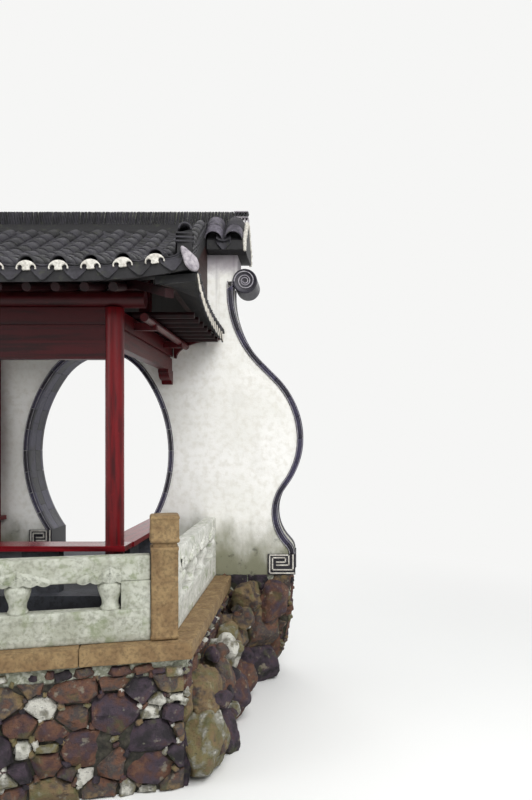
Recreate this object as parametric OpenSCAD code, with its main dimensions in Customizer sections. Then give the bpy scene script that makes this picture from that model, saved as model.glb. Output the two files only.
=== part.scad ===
// Moon gate of a Chinese garden: a white plastered wall with an oval gateway
// framed in moulded dark brick, S-curved wall ends, a tiled coping, and the
// half pavilion porch that stands in front of the gate on a rubble terrace.
//
// X runs along the wall and is 0 on the gate's axis. Y is 0 on the wall's front
// face and grows away from the porch. Z is 0 at the underside of the masonry.
// All sizes are millimetres.

/* [Gate wall] */
// Thickness of the plastered wall
wall_t = 400; // [340:10:460]
// Height of the coping's underside
wall_top = 4660; // [4500:20:4800]
// Height of the gate's sill and the porch floor
floor_z = 1390; // [1300:10:1450]
// Half the clear width of the oval gateway
gate_a = 778; // [700:2:800]
// Half the clear height of the full oval
gate_b = 1133; // [1100:1:1180]
// Height of the oval's centre
gate_z = 2460; // [2420:10:2500]
// Radius of the oval's crown arc
crown_r = 600; // [560:5:620]
// Width of the moulded frame on the wall's face
frame_w = 58; // [45:1:75]
// How far the frame stands out from the plaster
frame_proud = 16; // [8:1:24]
// Height above the sill where the gate's sides turn upright
foot_h = 220; // [190:5:240]
// Width of the square fret at each foot of the gate
fret_w = 250; // [200:10:280]

/* [Wall end] */
// Distance from the gate's axis to the top of the S-curve
s_top_x = 1460; // [1440:5:1500]
// Height at which the S-curve leaves the upright
s_top_z = 4270; // [4200:10:4300]
// Radius of the hollow below the scroll
hollow_r = 1166; // [1100:2:1200]
// Distance from the gate's axis to the belly of the S-curve
belly_x = 2240; // [2200:5:2280]
// Height of the belly
belly_z = 2620; // [2580:10:2660]
// Radius of the belly below its widest point
belly_low_r = 833; // [800:1:860]
// Distance from the gate's axis to the waist
waist_x = 1958; // [1940:2:1980]
// Height of the waist
waist_z = 1800; // [1780:5:1820]
// Width of the wall end moulding
mould_w = 66; // [50:2:80]
// Depth of the moulding's bands into the wall's end
mould_d = 90; // [70:5:120]
// Outer radius of the scroll at the top
scroll_r = 135; // [110:5:150]
// Width of the square fret plate at the bottom
end_fret_w = 306; // [280:2:330]
// Height of the square fret plate
end_fret_h = 226; // [200:2:250]

/* [Coping] */
// Half the length of the coping
coping_half = 1650; // [1620:5:1680]
// Overhang of the drip tiles past each wall face
coping_over = 170; // [120:5:200]
// Depth of the coping's edge over both wall faces
coping_edge = 100; // [80:5:120]
// Height of the ridge's underside
ridge_z = 5040; // [5000:10:5080]
// Height of the ridge of tiles set on edge
ridge_h = 160; // [120:5:180]
// Thickness of the ridge
ridge_t = 110; // [90:5:140]

/* [Porch frame] */
// Distance from the gate's axis to the porch's own axis
porch_x = -180; // [-220:10:-140]
// Half the distance between the two column lines
col_half = 953; // [900:1:980]
// Distance of the front columns from the wall
col_y = 2100; // [2000:10:2150]
// Diameter of a column
col_d = 150; // [130:5:170]
// Height of the front tie beam's underside
front_beam_z = 3270; // [3240:5:3300]
// Height of the side tie beams' underside
side_beam_z = 3370; // [3340:5:3400]
// Diameter of a purlin
purlin_d = 140; // [120:5:150]

/* [Porch roof] */
// Distance of the front eave from the wall
eave_y = 2670; // [2620:10:2720]
// Half the roof's width where it meets the wall
roof_half = 1390; // [1340:5:1420]
// How far the eave corners spread past that width
corner_spread = 290; // [240:5:320]
// How far the eave corners turn up
corner_lift = 100; // [80:5:130]
// Height of the roof where it meets the wall
roof_top_z = 4950; // [4900:10:4980]
// Height of the front eave at mid width
eave_z = 3930; // [3900:5:3960]

/* [Terrace] */
// Height of the kerb's top
kerb_z = 1110; // [1080:5:1140]
// Thickness of the kerb stones
kerb_t = 130; // [100:5:150]
// Distance from the gate's axis to the terrace's right edge
right_x = 1480; // [1450:5:1500]
// Width of the terrace along the wall
terrace_w = 3150; // [3100:10:3250]
// Distance of the right front corner from the wall
terrace_y = 2520; // [2470:5:2560]
// Skew of the front balustrade, in degrees
skew = 14; // [10:0.5:16]
// Height of the balustrade panels
rail_h = 640; // [600:5:680]
// Thickness of the balustrade panels
rail_t = 130; // [110:5:150]
// Height of a corner post with its cap
post_h = 940; // [900:5:980]
// Width of a corner post
post_w = 210; // [180:5:230]
// Clear height of the openings in the balustrade
slot_h = 210; // [180:5:230]
// Spacing of the vase supports
vase_pitch = 655; // [600:5:700]
// Width of the boulders beside the terrace
boulder_d = 560; // [500:10:600]
// Height of the seat boards' top above the floor
seat_h = 385; // [360:5:420]
// Width of the seat boards
seat_w = 250; // [230:5:290]

/* [Hidden] */
$fn = 48;

eps = 0.5;
// Joint left between pieces that are set against each other
seam = 0.3;
// Thickness of the bricks that line the gateway
lining = 24;
// How far the plastered end stands back from the moulding's edge
end_set = 8;
plaster = "#E4E2DA";
dark_brick = "#4A444C";
tile = "#3B3A3E";
lacquer = "#7A161C";
pale_stone = "#A9AC9C";
tan_stone = "#9A8468";
rubble = "#6E5A54";

// Points on a circular arc in the XZ plane, from angle a0 to a1
function arc(cx, cz, r, a0, a1, n) =
    [for (i = [0 : n]) let (a = a0 + (a1 - a0) * i / n) [cx + r * cos(a), cz + r * sin(a)]];
function reversed(p) = [for (i = [len(p) - 1 : -1 : 0]) p[i]];
function mirrored(p) = [for (i = [len(p) - 1 : -1 : 0]) [-p[i][0], p[i][1]]];

// The oval is set out with four arcs: a crown and an invert of radius crown_r
// and two long side arcs that meet them without a kink.
crown_c = gate_b - crown_r;
side_c = (crown_c * crown_c - pow(gate_a - crown_r, 2)) / (2 * (gate_a - crown_r));
side_r = gate_a + side_c;
side_a = atan2(crown_c, side_c);
foot_z = floor_z + foot_h;
foot_x = sqrt(side_r * side_r - pow(gate_z - foot_z, 2)) - side_c;

// Right half of the gateway's outline, from the foot up to the crown, at offset o
function gate_half(o) = concat(
    arc(-side_c, gate_z, side_r + o, -asin((gate_z - foot_z) / (side_r + o)), side_a, 16),
    arc(0, gate_z + crown_c, crown_r + o, side_a + 4, 90, 9));
// The whole clear outline with its upright feet down to height z
function gate_outline(o, z) = let (h = gate_half(o)) concat(
    [[h[0][0], z]], h, mirrored([for (i = [0 : len(h) - 2]) h[i]]), [[-h[0][0], z]]);

// The S-curve at offset o to the outside, from the scroll down to the fret
diag_c = s_top_x + s_top_z + hollow_r * (1 - sqrt(2));
belly_up_r = (diag_c - belly_x - belly_z) / (sqrt(2) - 1);
low_turn = 2 * atan2(belly_x - waist_x, belly_z - waist_z);
waist_r = (belly_z - waist_z) / sin(low_turn) - belly_low_r;
foot_turn_r = 150;
fret_top_z = waist_z - waist_r * sin(45) - foot_turn_r * sin(45);
fret_line_x = waist_x + (waist_r + foot_turn_r) * (1 - cos(45));
function s_curve(o) = concat(
    arc(s_top_x + hollow_r, s_top_z, hollow_r - o, 180, 225, 8),
    arc(belly_x - belly_up_r, belly_z, belly_up_r + o, 45, 0, 8),
    arc(belly_x - belly_low_r, belly_z, belly_low_r + o, -low_turn / 5, -low_turn, 5),
    arc(waist_x + waist_r, waist_z, waist_r - o, 180 - low_turn * 0.8, 225, 10),
    arc(fret_line_x - foot_turn_r, fret_top_z, foot_turn_r + o, 36, 0, 4));

scroll_x = s_top_x + mould_w / 2 + scroll_r;
scroll_z = s_top_z + 98;
end_fret_x = fret_line_x - end_fret_w + 40;
end_fret_z = fret_top_z - end_fret_h;
wall_foot_z = 1110;
toe_x = fret_line_x + mould_w / 2;

// A shape drawn in X and Z, standing upright from y0 to y1
module upright(y0, y1) {
    translate([0, y1, 0]) rotate([90, 0, 0]) linear_extrude(y1 - y0) children();
}
// The child and its mirror image at the left end of the wall
module on_side(s) {
    if (s > 0) children();
    else mirror([1, 0, 0]) children();
}
// The child moved to one side of the porch
module porch_side(s) {
    translate([porch_x, 0, 0]) on_side(s) children();
}

// The plastered wall as one flat outline, with its S-curved edge at offset o
module wall_outline(o) {
    top_x = s_top_x + 84;
    edge = concat([[top_x, wall_top], [top_x, scroll_z], [s_top_x + o, scroll_z]], s_curve(o),
        [for (z = [fret_top_z, wall_foot_z]) [fret_line_x - mould_w / 2 - seam, z]]);
    difference() {
        polygon(concat(edge, mirrored(edge)));
        polygon(gate_outline(lining, wall_foot_z - 10));
        for (s = [-1, 1]) translate([s * scroll_x, scroll_z]) circle(scroll_r + seam);
    }
}
over_z = gate_z + crown_c;

// The wall through its full thickness; between the moulding's bands its
// plastered end comes out nearly flush with them
module plastered_wall() {
    upright(0, wall_t) intersection() {
        wall_outline(-mould_w / 2 - seam);
        children();
    }
    upright(mould_d + seam, wall_t - mould_d - seam) intersection() {
        wall_outline(mould_w / 2 - end_set);
        children();
    }
}
module gate_wall_side(s) {
    color(plaster) plastered_wall() on_side(s) square([belly_x + 200, over_z]);
}
module gate_wall_over() {
    color(plaster) plastered_wall() translate([-belly_x, over_z]) square([2 * belly_x, wall_top - over_z]);
}

// Footing of the wall on natural rock, drawn in towards the water
module wall_footing() {
    half = [[toe_x - 300, 0], [toe_x - 90, 300], [toe_x - 20, 620], [toe_x, wall_foot_z]];
    color(rubble) upright(-30, wall_t + 30) polygon(concat(half, mirrored(half)));
}

// Moulded brick frame: it lines the reveal and stands proud of both faces
module gate_frame() {
    lip = frame_w / 3;
    groove = 8;
    color(dark_brick) {
        upright(-frame_proud, wall_t + frame_proud) difference() {
            polygon(gate_outline(lining, foot_z));
            polygon(gate_outline(0, foot_z - 1));
        }
        for (back = [0, 1]) difference() {
            upright(back ? wall_t : -frame_proud, back ? wall_t + frame_proud : 0) difference() {
                polygon(gate_outline(frame_w, foot_z));
                polygon(gate_outline(lining / 2, foot_z - 1));
            }
            upright(back ? wall_t + frame_proud - groove : -frame_proud - eps,
                back ? wall_t + frame_proud + eps : groove - frame_proud) difference() {
                polygon(gate_outline(frame_w - lip, foot_z - 1));
                polygon(gate_outline(lip, foot_z - 2));
            }
        }
    }
}

// A square spiral drawn as a path of bars of width b, turning inwards
module square_spiral(w, h, b) {
    step = 2 * b;
    difference() {
        square([w, h]);
        translate([b, b]) square([w - 2 * b, h - 2 * b]);
    }
    translate([step, step]) square([w - 2 * step, b]);
    translate([step, step]) square([b, h - 2 * step]);
    translate([step, h - step - b]) square([w - 3 * step, b]);
    translate([w - 2 * step, h / 2]) square([b, h / 2 - step]);
}

// A fret plate on each face of the wall, tied by a strip of width tie at x = tie_x
module fret_pair(w, h, tie_x, tie) {
    bar = h / 11;
    relief = 6;
    for (back = [0, 1]) {
        y = back ? wall_t : -frame_proud;
        upright(y, y + frame_proud) square([w, h]);
        upright(back ? y + frame_proud - eps : y - relief, back ? y + frame_proud + relief : y + eps)
            square_spiral(w, h, bar);
    }
    upright(-eps, wall_t + eps) translate([tie_x, 0]) square([tie, h]);
}

// Square fret on the wall's face at a foot of the gate; it lines the upright reveal
module gate_fret(s) {
    color(dark_brick) on_side(s) translate([foot_x, 0, floor_z])
        fret_pair(fret_w, foot_h, 0, lining);
}

// Stone sill across the gateway
module gate_sill() {
    half = foot_x + lining - seam;
    color(pale_stone) translate([-half, -10, wall_foot_z]) cube([2 * half, wall_t + 20, floor_z - wall_foot_z]);
}

// Moulded bands that edge the S-curved end of the wall on both faces
module end_moulding(s) {
    groove = mould_w / 5;
    color(dark_brick) on_side(s) {
        difference() {
            for (y = [-frame_proud, wall_t - mould_d]) upright(y, y + mould_d + frame_proud)
                polygon(concat([[s_top_x - mould_w / 2, scroll_z]], s_curve(-mould_w / 2),
                    reversed(s_curve(mould_w / 2)), [[s_top_x + mould_w / 2, scroll_z]]));
            for (y = [-frame_proud - eps, wall_t + frame_proud - 8])
                upright(y, y + 8 + eps) for (c = [-groove, groove])
                    polygon(concat(s_curve(c - groove / 2), reversed(s_curve(c + groove / 2))));
        }
    }
}

// Scroll in which the moulding ends at the top, with a spiral groove on both faces
module end_scroll(s) {
    turns = 1.75;
    steps = 32;
    eye = 30;
    groove = 20;
    rise = scroll_r - 16 - eye;
    function spiral(o) = [for (i = [0 : steps]) let (a = 360 * turns * i / steps)
        (eye + rise * i / steps + o) * [cos(180 - a), sin(180 - a)]];
    color(dark_brick) on_side(s) translate([scroll_x, 0, scroll_z]) {
        difference() {
            upright(-frame_proud - 10, wall_t + frame_proud + 10) circle(scroll_r);
            for (y = [-frame_proud - 10 - eps, wall_t + frame_proud])
                upright(y, y + 10 + eps) polygon(concat(spiral(-groove / 2), reversed(spiral(groove / 2))));
        }
    }
}

// Square fret plate in which the moulding ends at the bottom
module end_fret(s) {
    color(dark_brick) on_side(s) translate([end_fret_x, 0, end_fret_z])
        fret_pair(end_fret_w, end_fret_h, fret_line_x - mould_w / 2 - end_fret_x, mould_w);
}

// Both tiled slopes of the coping on a corbelled plaster course
module coping_slopes() {
    color(tile) difference() {
        translate([-coping_half, 0, 0]) rotate([90, 0, 90]) linear_extrude(2 * coping_half) polygon([
            [0, wall_top], [-coping_over, wall_top + 20], [-coping_over, wall_top + 20 + coping_edge],
            [wall_t / 2 - ridge_t / 2 - 20, ridge_z], [wall_t / 2 + ridge_t / 2 + 20, ridge_z],
            [wall_t + coping_over, wall_top + 20 + coping_edge], [wall_t + coping_over, wall_top + 20], [wall_t, wall_top]]);
        translate([porch_x - roof_half - 20, -coping_over - 1, wall_top - 1])
            cube([2 * roof_half + 40, coping_over + 1 + seam, ridge_z]);
    }
}
// Ridge of thin tiles set on edge over a bed of mortar
module coping_ridge() {
    color(tile) translate([-coping_half + ridge_h, wall_t / 2 - ridge_t / 2, ridge_z])
        cube([2 * (coping_half - ridge_h), ridge_t, ridge_h]);
}
// Pierced block that closes the ridge
module ridge_end(s) {
    hole = 40;
    color(tile) on_side(s) translate([coping_half - ridge_h, 0, ridge_z]) difference() {
        translate([0, wall_t / 2 - ridge_t / 2, 0]) cube([ridge_h, ridge_t, ridge_h]);
        for (x = [0.28, 0.72], z = [0.3, 0.7])
            translate([x * ridge_h, 0, z * ridge_h]) rotate([-90, 0, 0]) cylinder(d = hole, h = wall_t, $fn = 24);
    }
}

// Outline of the terrace inset by d, seen from above
left_x = right_x - terrace_w;
function front_y(x, d) = -terrace_y + d / cos(skew) + (x - right_x) * tan(skew);
module terrace_plan(d) {
    polygon([[right_x - d, 0], [right_x - d, front_y(right_x - d, d)],
        [left_x + d, front_y(left_x + d, d)], [left_x + d, 0]]);
}
// Rubble retaining base of the terrace, battered down to the water
base_inset = 30;
module terrace_base() {
    courses = 4;
    course_h = (kerb_z - kerb_t) / courses;
    color(rubble) for (i = [0 : courses - 1])
        translate([0, -30, i * course_h]) linear_extrude(course_h + (i < courses - 1 ? eps : 0))
            terrace_plan(base_inset + 12 * i);
}
// One rounded boulder centred on a point
module rock(at, size, turn) {
    translate(at) rotate([0, 0, turn]) scale(size / 2) rotate([turn * 3, turn * 2, 0]) sphere(r = 1.08, $fn = 9);
}
// Even spread between -1 and 1, the same on every build
function vary(i) = sin(137.5 * i);
// Boulders piled along a side of the terrace and under the end of the wall
module corner_rocks(s) {
    x0 = s > 0 ? right_x : -left_x;
    reach = s > 0 ? terrace_y : -front_y(left_x, 0);
    rows = 5;
    b = boulder_d;
    color(rubble) on_side(s) intersection() {
        difference() {
            translate([x0 - base_inset + seam, -reach - 0.4 * b, 0])
                cube([toe_x - x0 + b, reach + 0.4 * b - 30 - seam, kerb_z + 0.1 * b]);
            translate([x0 - 100, -reach - 0.4 * b - 1, kerb_z - kerb_t - seam])
                cube([100 + seam, reach + 0.4 * b + 1, 2 * kerb_t]);
        }
        union() {
            translate([x0 - 60, -reach + 60, 0]) cube([0.25 * b, reach - 80, 1.1 * b]);
            for (i = [0 : rows - 1]) {
                y = -reach + 0.46 * b + (reach - 0.86 * b) * i / (rows - 1);
                rock([x0 + b * (0.07 + 0.045 * vary(i)), y, b * (0.34 + 0.07 * vary(i + 6))],
                    b * [0.84 + 0.1 * vary(i + 12), 0.93, 1], 25 * i);
                rock([x0 + 0.036 * b * (1 + vary(i + 18)), y + 0.2 * b * vary(i + 24), b * (1.05 + 0.07 * vary(i + 30))],
                    b * [0.59 + 0.07 * vary(i + 36), 0.86, 0.75 + 0.1 * vary(i + 42)], 40 * i + 10);
            }
            rock([toe_x - 0.82 * b, -0.3 * b, 0.36 * b], b * [1, 0.75, 1], 15);
            rock([toe_x - 0.66 * b, -0.23 * b, b], b * [0.93, 0.64, 0.86], 50);
            rock([toe_x - 0.41 * b, -0.2 * b, 1.48 * b], b * [0.89, 0.57, 0.79], 75);
            rock([toe_x - 0.91 * b, -0.27 * b, 1.6 * b], b * [0.77, 0.59, 0.71], 120);
        }
    }
}
// Kerb stones round the terrace's edge
kerb_band = 330;
module kerb_stones() {
    color(tan_stone) translate([0, -30, kerb_z - kerb_t]) linear_extrude(kerb_t) difference() {
        terrace_plan(0);
        terrace_plan(kerb_band);
    }
}

post_x = right_x - 240;
post_left_x = left_x + 240;
rail_inset = 170;
function rail_y(x) = front_y(x, rail_inset);
floor_x0 = porch_x - col_half - 170;
floor_x1 = porch_x + col_half + 170;
floor_y = col_y + 170;

// Porch floor on its fill, one step above the terrace
module porch_floor() {
    color(pale_stone) {
        translate([floor_x0, -floor_y, kerb_z]) cube([floor_x1 - floor_x0, floor_y - 20, floor_z - kerb_z]);
        translate([0, -30, kerb_z - kerb_t]) linear_extrude(kerb_t) terrace_plan(kerb_band);
    }
}

module corner_post(x) {
    cap = 210;
    neck = 30;
    shaft = post_h - cap - neck;
    color(tan_stone) translate([x, rail_y(x), kerb_z]) rotate([0, 0, skew]) {
        translate([-post_w / 2, -post_w / 2, 0]) cube([post_w, post_w, shaft]);
        translate([-post_w * 0.42, -post_w * 0.42, shaft]) cube([post_w * 0.84, post_w * 0.84, neck]);
        translate([-post_w * 0.53, -post_w * 0.53, shaft + neck]) cube([post_w * 1.06, post_w * 1.06, cap]);
    }
}

// Vase support turned in stone: wide under its rim, with a low waist and a small foot
module vase(h) {
    rotate_extrude($fn = 16) polygon([[0, 0], [72, 0], [74, h * 0.08], [62, h * 0.2], [65, h * 0.34],
        [84, h * 0.58], [94, h * 0.78], [90, h * 0.9], [70, h], [0, h]]);
}
// Half a carved cloud that hangs under the rail beside a vase, cut to scallops
module cloud_side(w, h) {
    intersection() {
        square([w, h]);
        union() {
            translate([0, h * 0.62]) circle(r = w * 0.42, $fn = 20);
            translate([w * 0.44, h * 0.8]) circle(r = w * 0.3, $fn = 14);
            translate([w * 0.76, h * 0.95]) circle(r = w * 0.22, $fn = 12);
            translate([0, h * 0.82]) square([w, h * 0.18]);
        }
    }
}
// Straight stone panel of length l with openings between its vases, the last
// of which stand just inside the ends of the opening
module balustrade(l) {
    margin = 215;
    end_gap = 80;
    slot_z = rail_h - slot_h - 190;
    n = max(1, round((l - 2 * margin - 2 * end_gap) / vase_pitch));
    bay = (l - 2 * margin - 2 * end_gap) / n;
    cloud_w = 190;
    cloud_h = 75;
    relief = 14;
    color(pale_stone) {
        difference() {
            translate([0, -rail_t / 2, 0]) cube([l, rail_t, rail_h]);
            translate([margin, -rail_t, slot_z]) cube([l - 2 * margin, 2 * rail_t, slot_h]);
            for (y = [-rail_t / 2 - eps, rail_t / 2 - relief])
                translate([margin / 2, y, 60]) cube([l - margin, relief + eps, slot_z - 120]);
        }
        for (i = [0 : n]) translate([margin + end_gap + i * bay, 0, slot_z]) {
            translate([0, 0, -eps]) vase(slot_h + 2 * eps);
            for (m = [0, 1]) mirror([m, 0, 0]) translate([0, 0, slot_h])
                upright(-rail_t / 2 - relief, rail_t / 2 + relief) intersection() {
                    translate([0, -cloud_h / 3]) cloud_side(cloud_w, cloud_h);
                    translate([0, -cloud_h]) square([(i == 0 && m == 1) || (i == n && m == 0) ? end_gap : cloud_w, 2 * cloud_h]);
                }
        }
    }
}
module balustrade_front() {
    gap = post_w / 2;
    run = (post_x - post_left_x) / cos(skew) - 2 * gap;
    translate([post_left_x, rail_y(post_left_x), kerb_z]) rotate([0, 0, skew]) translate([gap, 0, 0]) balustrade(run);
}
module balustrade_side(x) {
    run = -rail_y(x) - post_w / 2 + 20;
    difference() {
        translate([x, -seam, kerb_z]) rotate([0, 0, -90]) balustrade(run);
        translate([x, rail_y(x), kerb_z - 1]) rotate([0, 0, skew])
            translate([-post_w / 2 - seam, -post_w / 2 - seam, 0]) cube([post_w + 2 * seam, post_w + 2 * seam, post_h]);
    }
}

seat_t = 42;
seat_z = floor_z + seat_h - seat_t;
// Low grey supports under the seat boards
module seat_supports() {
    t = 110;
    support_l = 300;
    color(pale_stone) translate([0, 0, floor_z]) {
        for (s = [-1, 1], y = [0.9, 0.55, 0.26]) porch_side(s)
            translate([col_half - 45, -y * col_y, 0]) cube([t, support_l, seat_h - seat_t]);
        for (x = [-0.55, 0.23])
            translate([porch_x + x * col_half, -col_y - t / 2, 0]) cube([support_l, t, seat_h - seat_t]);
    }
}
module seat_board_front() {
    color(lacquer) difference() {
        translate([porch_x - col_half - 115, -col_y - seat_w / 2, seat_z])
            cube([2 * col_half + 230, seat_w, seat_t]);
        for (s = [-1, 1]) porch_side(s)
            translate([col_half, -col_y, seat_z - 1]) cylinder(d = col_d + 4, h = seat_t + 2);
    }
}
module seat_board_side(s) {
    color(lacquer) porch_side(s) difference() {
        translate([col_half - seat_w / 2, -col_y + seat_w / 2 + seam, seat_z])
            cube([seat_w, col_y - seat_w / 2 - 30, seat_t]);
        translate([col_half, -wall_col_y, seat_z - 1]) cylinder(d = col_d + 4, h = seat_t + 2);
    }
}

// The roof's section: straight rafters between the wall, two purlins and the eave
mid_y = col_y / 2;
mid_z = eave_z + 0.48 * (roof_top_z - eave_z);
col_z = eave_z + 0.12 * (roof_top_z - eave_z);
skin = 110;
rafter_d = 70;
// Depth of the tiles over the roof's slab, and of the slab's underside below their tops
tile_rise = 45;
under = tile_rise + skin;
purlin_drop = under + rafter_d + purlin_d / 2;
function roof_line(y) = lookup(y, [[0, roof_top_z], [mid_y, mid_z], [col_y, col_z], [eave_y, eave_z]]);
function spread(t) = roof_half + corner_spread * t * t;
// Rise of the eave towards its corners; u runs across from -1 to 1, t from wall to eave
function lift(u, t) = corner_lift * pow(abs(u), 4) * pow(t, 3);
function roof_point(u, t, dz) = [porch_x + u * spread(t), -eave_y * t, roof_line(eave_y * t) + lift(u, t) + dz];

base_h = 60;
col_top = col_z - purlin_drop - purlin_d / 2 - seam;
wall_col_y = col_d / 2 + 1;
module column(s, y) {
    color(lacquer) porch_side(s) translate([col_half, -y, floor_z + base_h])
        cylinder(d = col_d, h = col_top - floor_z - base_h);
}
module column_bases() {
    color(pale_stone) translate([0, 0, floor_z]) {
        for (s = [-1, 1]) porch_side(s) translate([col_half, -col_y, 0]) {
            cylinder(d1 = 230, d2 = 250, h = base_h / 2);
            translate([0, 0, base_h / 2]) cylinder(d1 = 250, d2 = 190, h = base_h / 2);
        }
        porch_side(-1) intersection() {
            translate([col_half, -wall_col_y, 0]) cylinder(d = 220, h = base_h);
            translate([col_half - 200, -400, 0]) cube([400, 400 - seam, base_h]);
        }
    }
}

beam_w = 90;
// Space taken by the columns, so that beams are coped round them
module column_clear() {
    for (at = [[1, col_y], [-1, col_y], [-1, wall_col_y]]) porch_side(at[0])
        translate([col_half, -at[1], front_beam_z - 10]) cylinder(d = col_d + 2 * seam, h = 1000);
}
module beam_front() {
    l = 2 * col_half;
    low = 150;
    board = 130;
    top_z = front_beam_z + low + board;
    color(lacquer) difference() {
        translate([porch_x - l / 2, -col_y, 0]) {
            translate([0, -beam_w / 2, front_beam_z]) cube([l, beam_w, low]);
            translate([0, -beam_w / 2 + 25, front_beam_z + low]) cube([l, beam_w - 50, board]);
            translate([0, -beam_w / 2 + 8, top_z]) cube([l, beam_w - 16, col_top - top_z]);
        }
        column_clear();
    }
}
side_beam_h = 300;
module beam_side(s) {
    wall_end = s > 0 ? seam : wall_col_y;
    l = col_y - wall_end;
    color(lacquer) difference() {
        porch_side(s) translate([col_half, -wall_end - l, 0]) {
            translate([-beam_w / 2, 0, side_beam_z]) cube([beam_w, l, 135]);
            translate([-beam_w / 2 + 20, 0, side_beam_z + 135]) cube([beam_w - 40, l, 25]);
            translate([-beam_w / 2 - 10, 0, side_beam_z + 160]) cube([beam_w + 20, l, side_beam_h - 160]);
        }
        column_clear();
    }
}
// Carved corbel that carries the right beam on the wall
module corbel_right() {
    color(lacquer) translate([porch_x + col_half, 0, 0]) rotate([90, 0, 0]) rotate([0, 90, 0])
        translate([0, 0, -55]) linear_extrude(110) polygon(concat(
            [[0, side_beam_z], [-260, side_beam_z], [-260, side_beam_z - 40]],
            [for (a = [0 : 15 : 90]) [-90 - 150 * cos(a), side_beam_z - 40 - 70 * sin(a)]],
            [[-60, side_beam_z - 150], [0, side_beam_z - 150]]));
}

// A closed shell between an upper and a lower grid of points, n by m cells
module shell(top, low, n, m) {
    k = (n + 1) * (m + 1);
    function id(i, j) = i * (m + 1) + j;
    faces_top = [for (i = [0 : n - 1], j = [0 : m - 1]) each
        [[id(i, j), id(i, j + 1), id(i + 1, j + 1)], [id(i, j), id(i + 1, j + 1), id(i + 1, j)]]];
    faces_low = [for (f = faces_top) [f[2] + k, f[1] + k, f[0] + k]];
    rim = concat([for (j = [0 : m - 1]) id(0, j)], [for (i = [0 : n - 1]) id(i, m)],
        [for (j = [m : -1 : 1]) id(n, j)], [for (i = [n : -1 : 1]) id(i, 0)]);
    r = len(rim);
    faces_rim = [for (q = [0 : r - 1]) let (a = rim[q], b = rim[(q + 1) % r]) each
        [[b, a, a + k], [b, a + k, b + k]]];
    polyhedron(concat(top, low), concat(faces_top, faces_low, faces_rim));
}
module roof_slope() {
    n = 16;
    m = 10;
    color(tile) shell(
        [for (i = [0 : n], j = [0 : m]) roof_point(2 * i / n - 1, j / m, -tile_rise)],
        [for (i = [0 : n], j = [0 : m]) roof_point(2 * i / n - 1, j / m, -under)], n, m);
}

// The skirt roof at each side runs from the foot of the gable out to the side eave
skirt_out = 170;
skirt_t = 60;
skirt_pitch = 0.6;
side_eave_z = 3795;
function skirt_in(t) = roof_half + seam;
function skirt_edge(t) = roof_half + skirt_out + (corner_spread - skirt_out + 20) * t * t;
function skirt_low(t) = side_eave_z + (eave_z + corner_lift - under - 10 - side_eave_z) * pow(t, 3);
// Underside of the front slope above the foot of the gable
function slab_low(t) = roof_line(eave_y * t) + lift(roof_half / spread(t), t) - under;
function skirt_high(t) = min(skirt_low(t) + skirt_pitch * (skirt_edge(t) - skirt_in(t)), slab_low(t) - 1);
function skirt_point(e, t, dz) = [skirt_in(t) * (1 - e) + skirt_edge(t) * e, -eave_y * t,
    skirt_high(t) * (1 - e) + skirt_low(t) * e + dz];
module roof_skirt(s) {
    m = 10;
    t1 = 0.97;
    color(tile) porch_side(s) shell(
        [for (e = [0, 1], j = [0 : m]) skirt_point(e, t1 * j / m, 0)],
        [for (e = [0, 1], j = [0 : m]) skirt_point(e, t1 * j / m, -skirt_t)], 1, m);
}
// Plastered gable between the skirt and the verge of the front slope
module gable(s) {
    t_end = 0.8;
    steps = 8;
    thick = 50;
    color(plaster) porch_side(s) translate([roof_half - thick, 0, 0]) rotate([90, 0, -90]) mirror([0, 0, 1])
        linear_extrude(thick) polygon(concat(
            [for (j = [0 : steps]) let (t = t_end * j / steps) [eave_y * t + (j == 0 ? seam : 0), slab_low(t) - 1]],
            [for (j = [steps : -1 : 0]) let (t = t_end * j / steps)
                [eave_y * t + (j == 0 ? seam : 0), min(skirt_high(t), slab_low(t)) - skirt_t]]));
}
// Raised ridge down each verge, ending in an upturned ear over the corner
module hip_ridge(s) {
    n = 10;
    w = 110;
    h = 115;
    ear = 60;
    function side_u(i, t) = (spread(t) - w + i * w) / spread(t);
    color(tile) shell(
        [for (i = [0 : 1], j = [0 : n]) let (t = j / n, p = roof_point(s * side_u(s > 0 ? i : 1 - i, t), t, 0))
            [p[0], p[1], p[2] - tile_rise + h + ear * pow(t, 8)]],
        [for (i = [0 : 1], j = [0 : n]) let (t = j / n) roof_point(s * side_u(s > 0 ? i : 1 - i, t), t, seam - tile_rise)], 1, n);
}
// Corner rafters that run from the front columns out to the upturned eave corners
hip_w = 80;
hip_run = [roof_half + corner_spread - 190 - col_half, col_y + 110 - eave_y];
module hip_rafters() {
    w = hip_w;
    h = rafter_d - 3;
    start = 20;
    z0 = col_top + purlin_d + rafter_d - 1;
    z1 = side_eave_z - skirt_t + 12;
    run = hip_run;
    way = run / norm(run);
    across = [-way[1], way[0]];
    color(lacquer) for (s = [-1, 1]) porch_side(s) shell(
        [for (i = [-1, 1], j = [0, 1, 2]) let (f = j / 2, p = [col_half, -col_y] - start * way * (1 - f) + run * f + across * i * w / 2)
            [p[0], p[1], z0 + (z1 - z0) * f * f]],
        [for (i = [-1, 1], j = [0, 1, 2]) let (f = j / 2, p = [col_half, -col_y] - start * way * (1 - f) + run * f + across * i * w / 2)
            [p[0], p[1], z0 + (z1 - z0) * f * f - h]], 1, 2);
}

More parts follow.
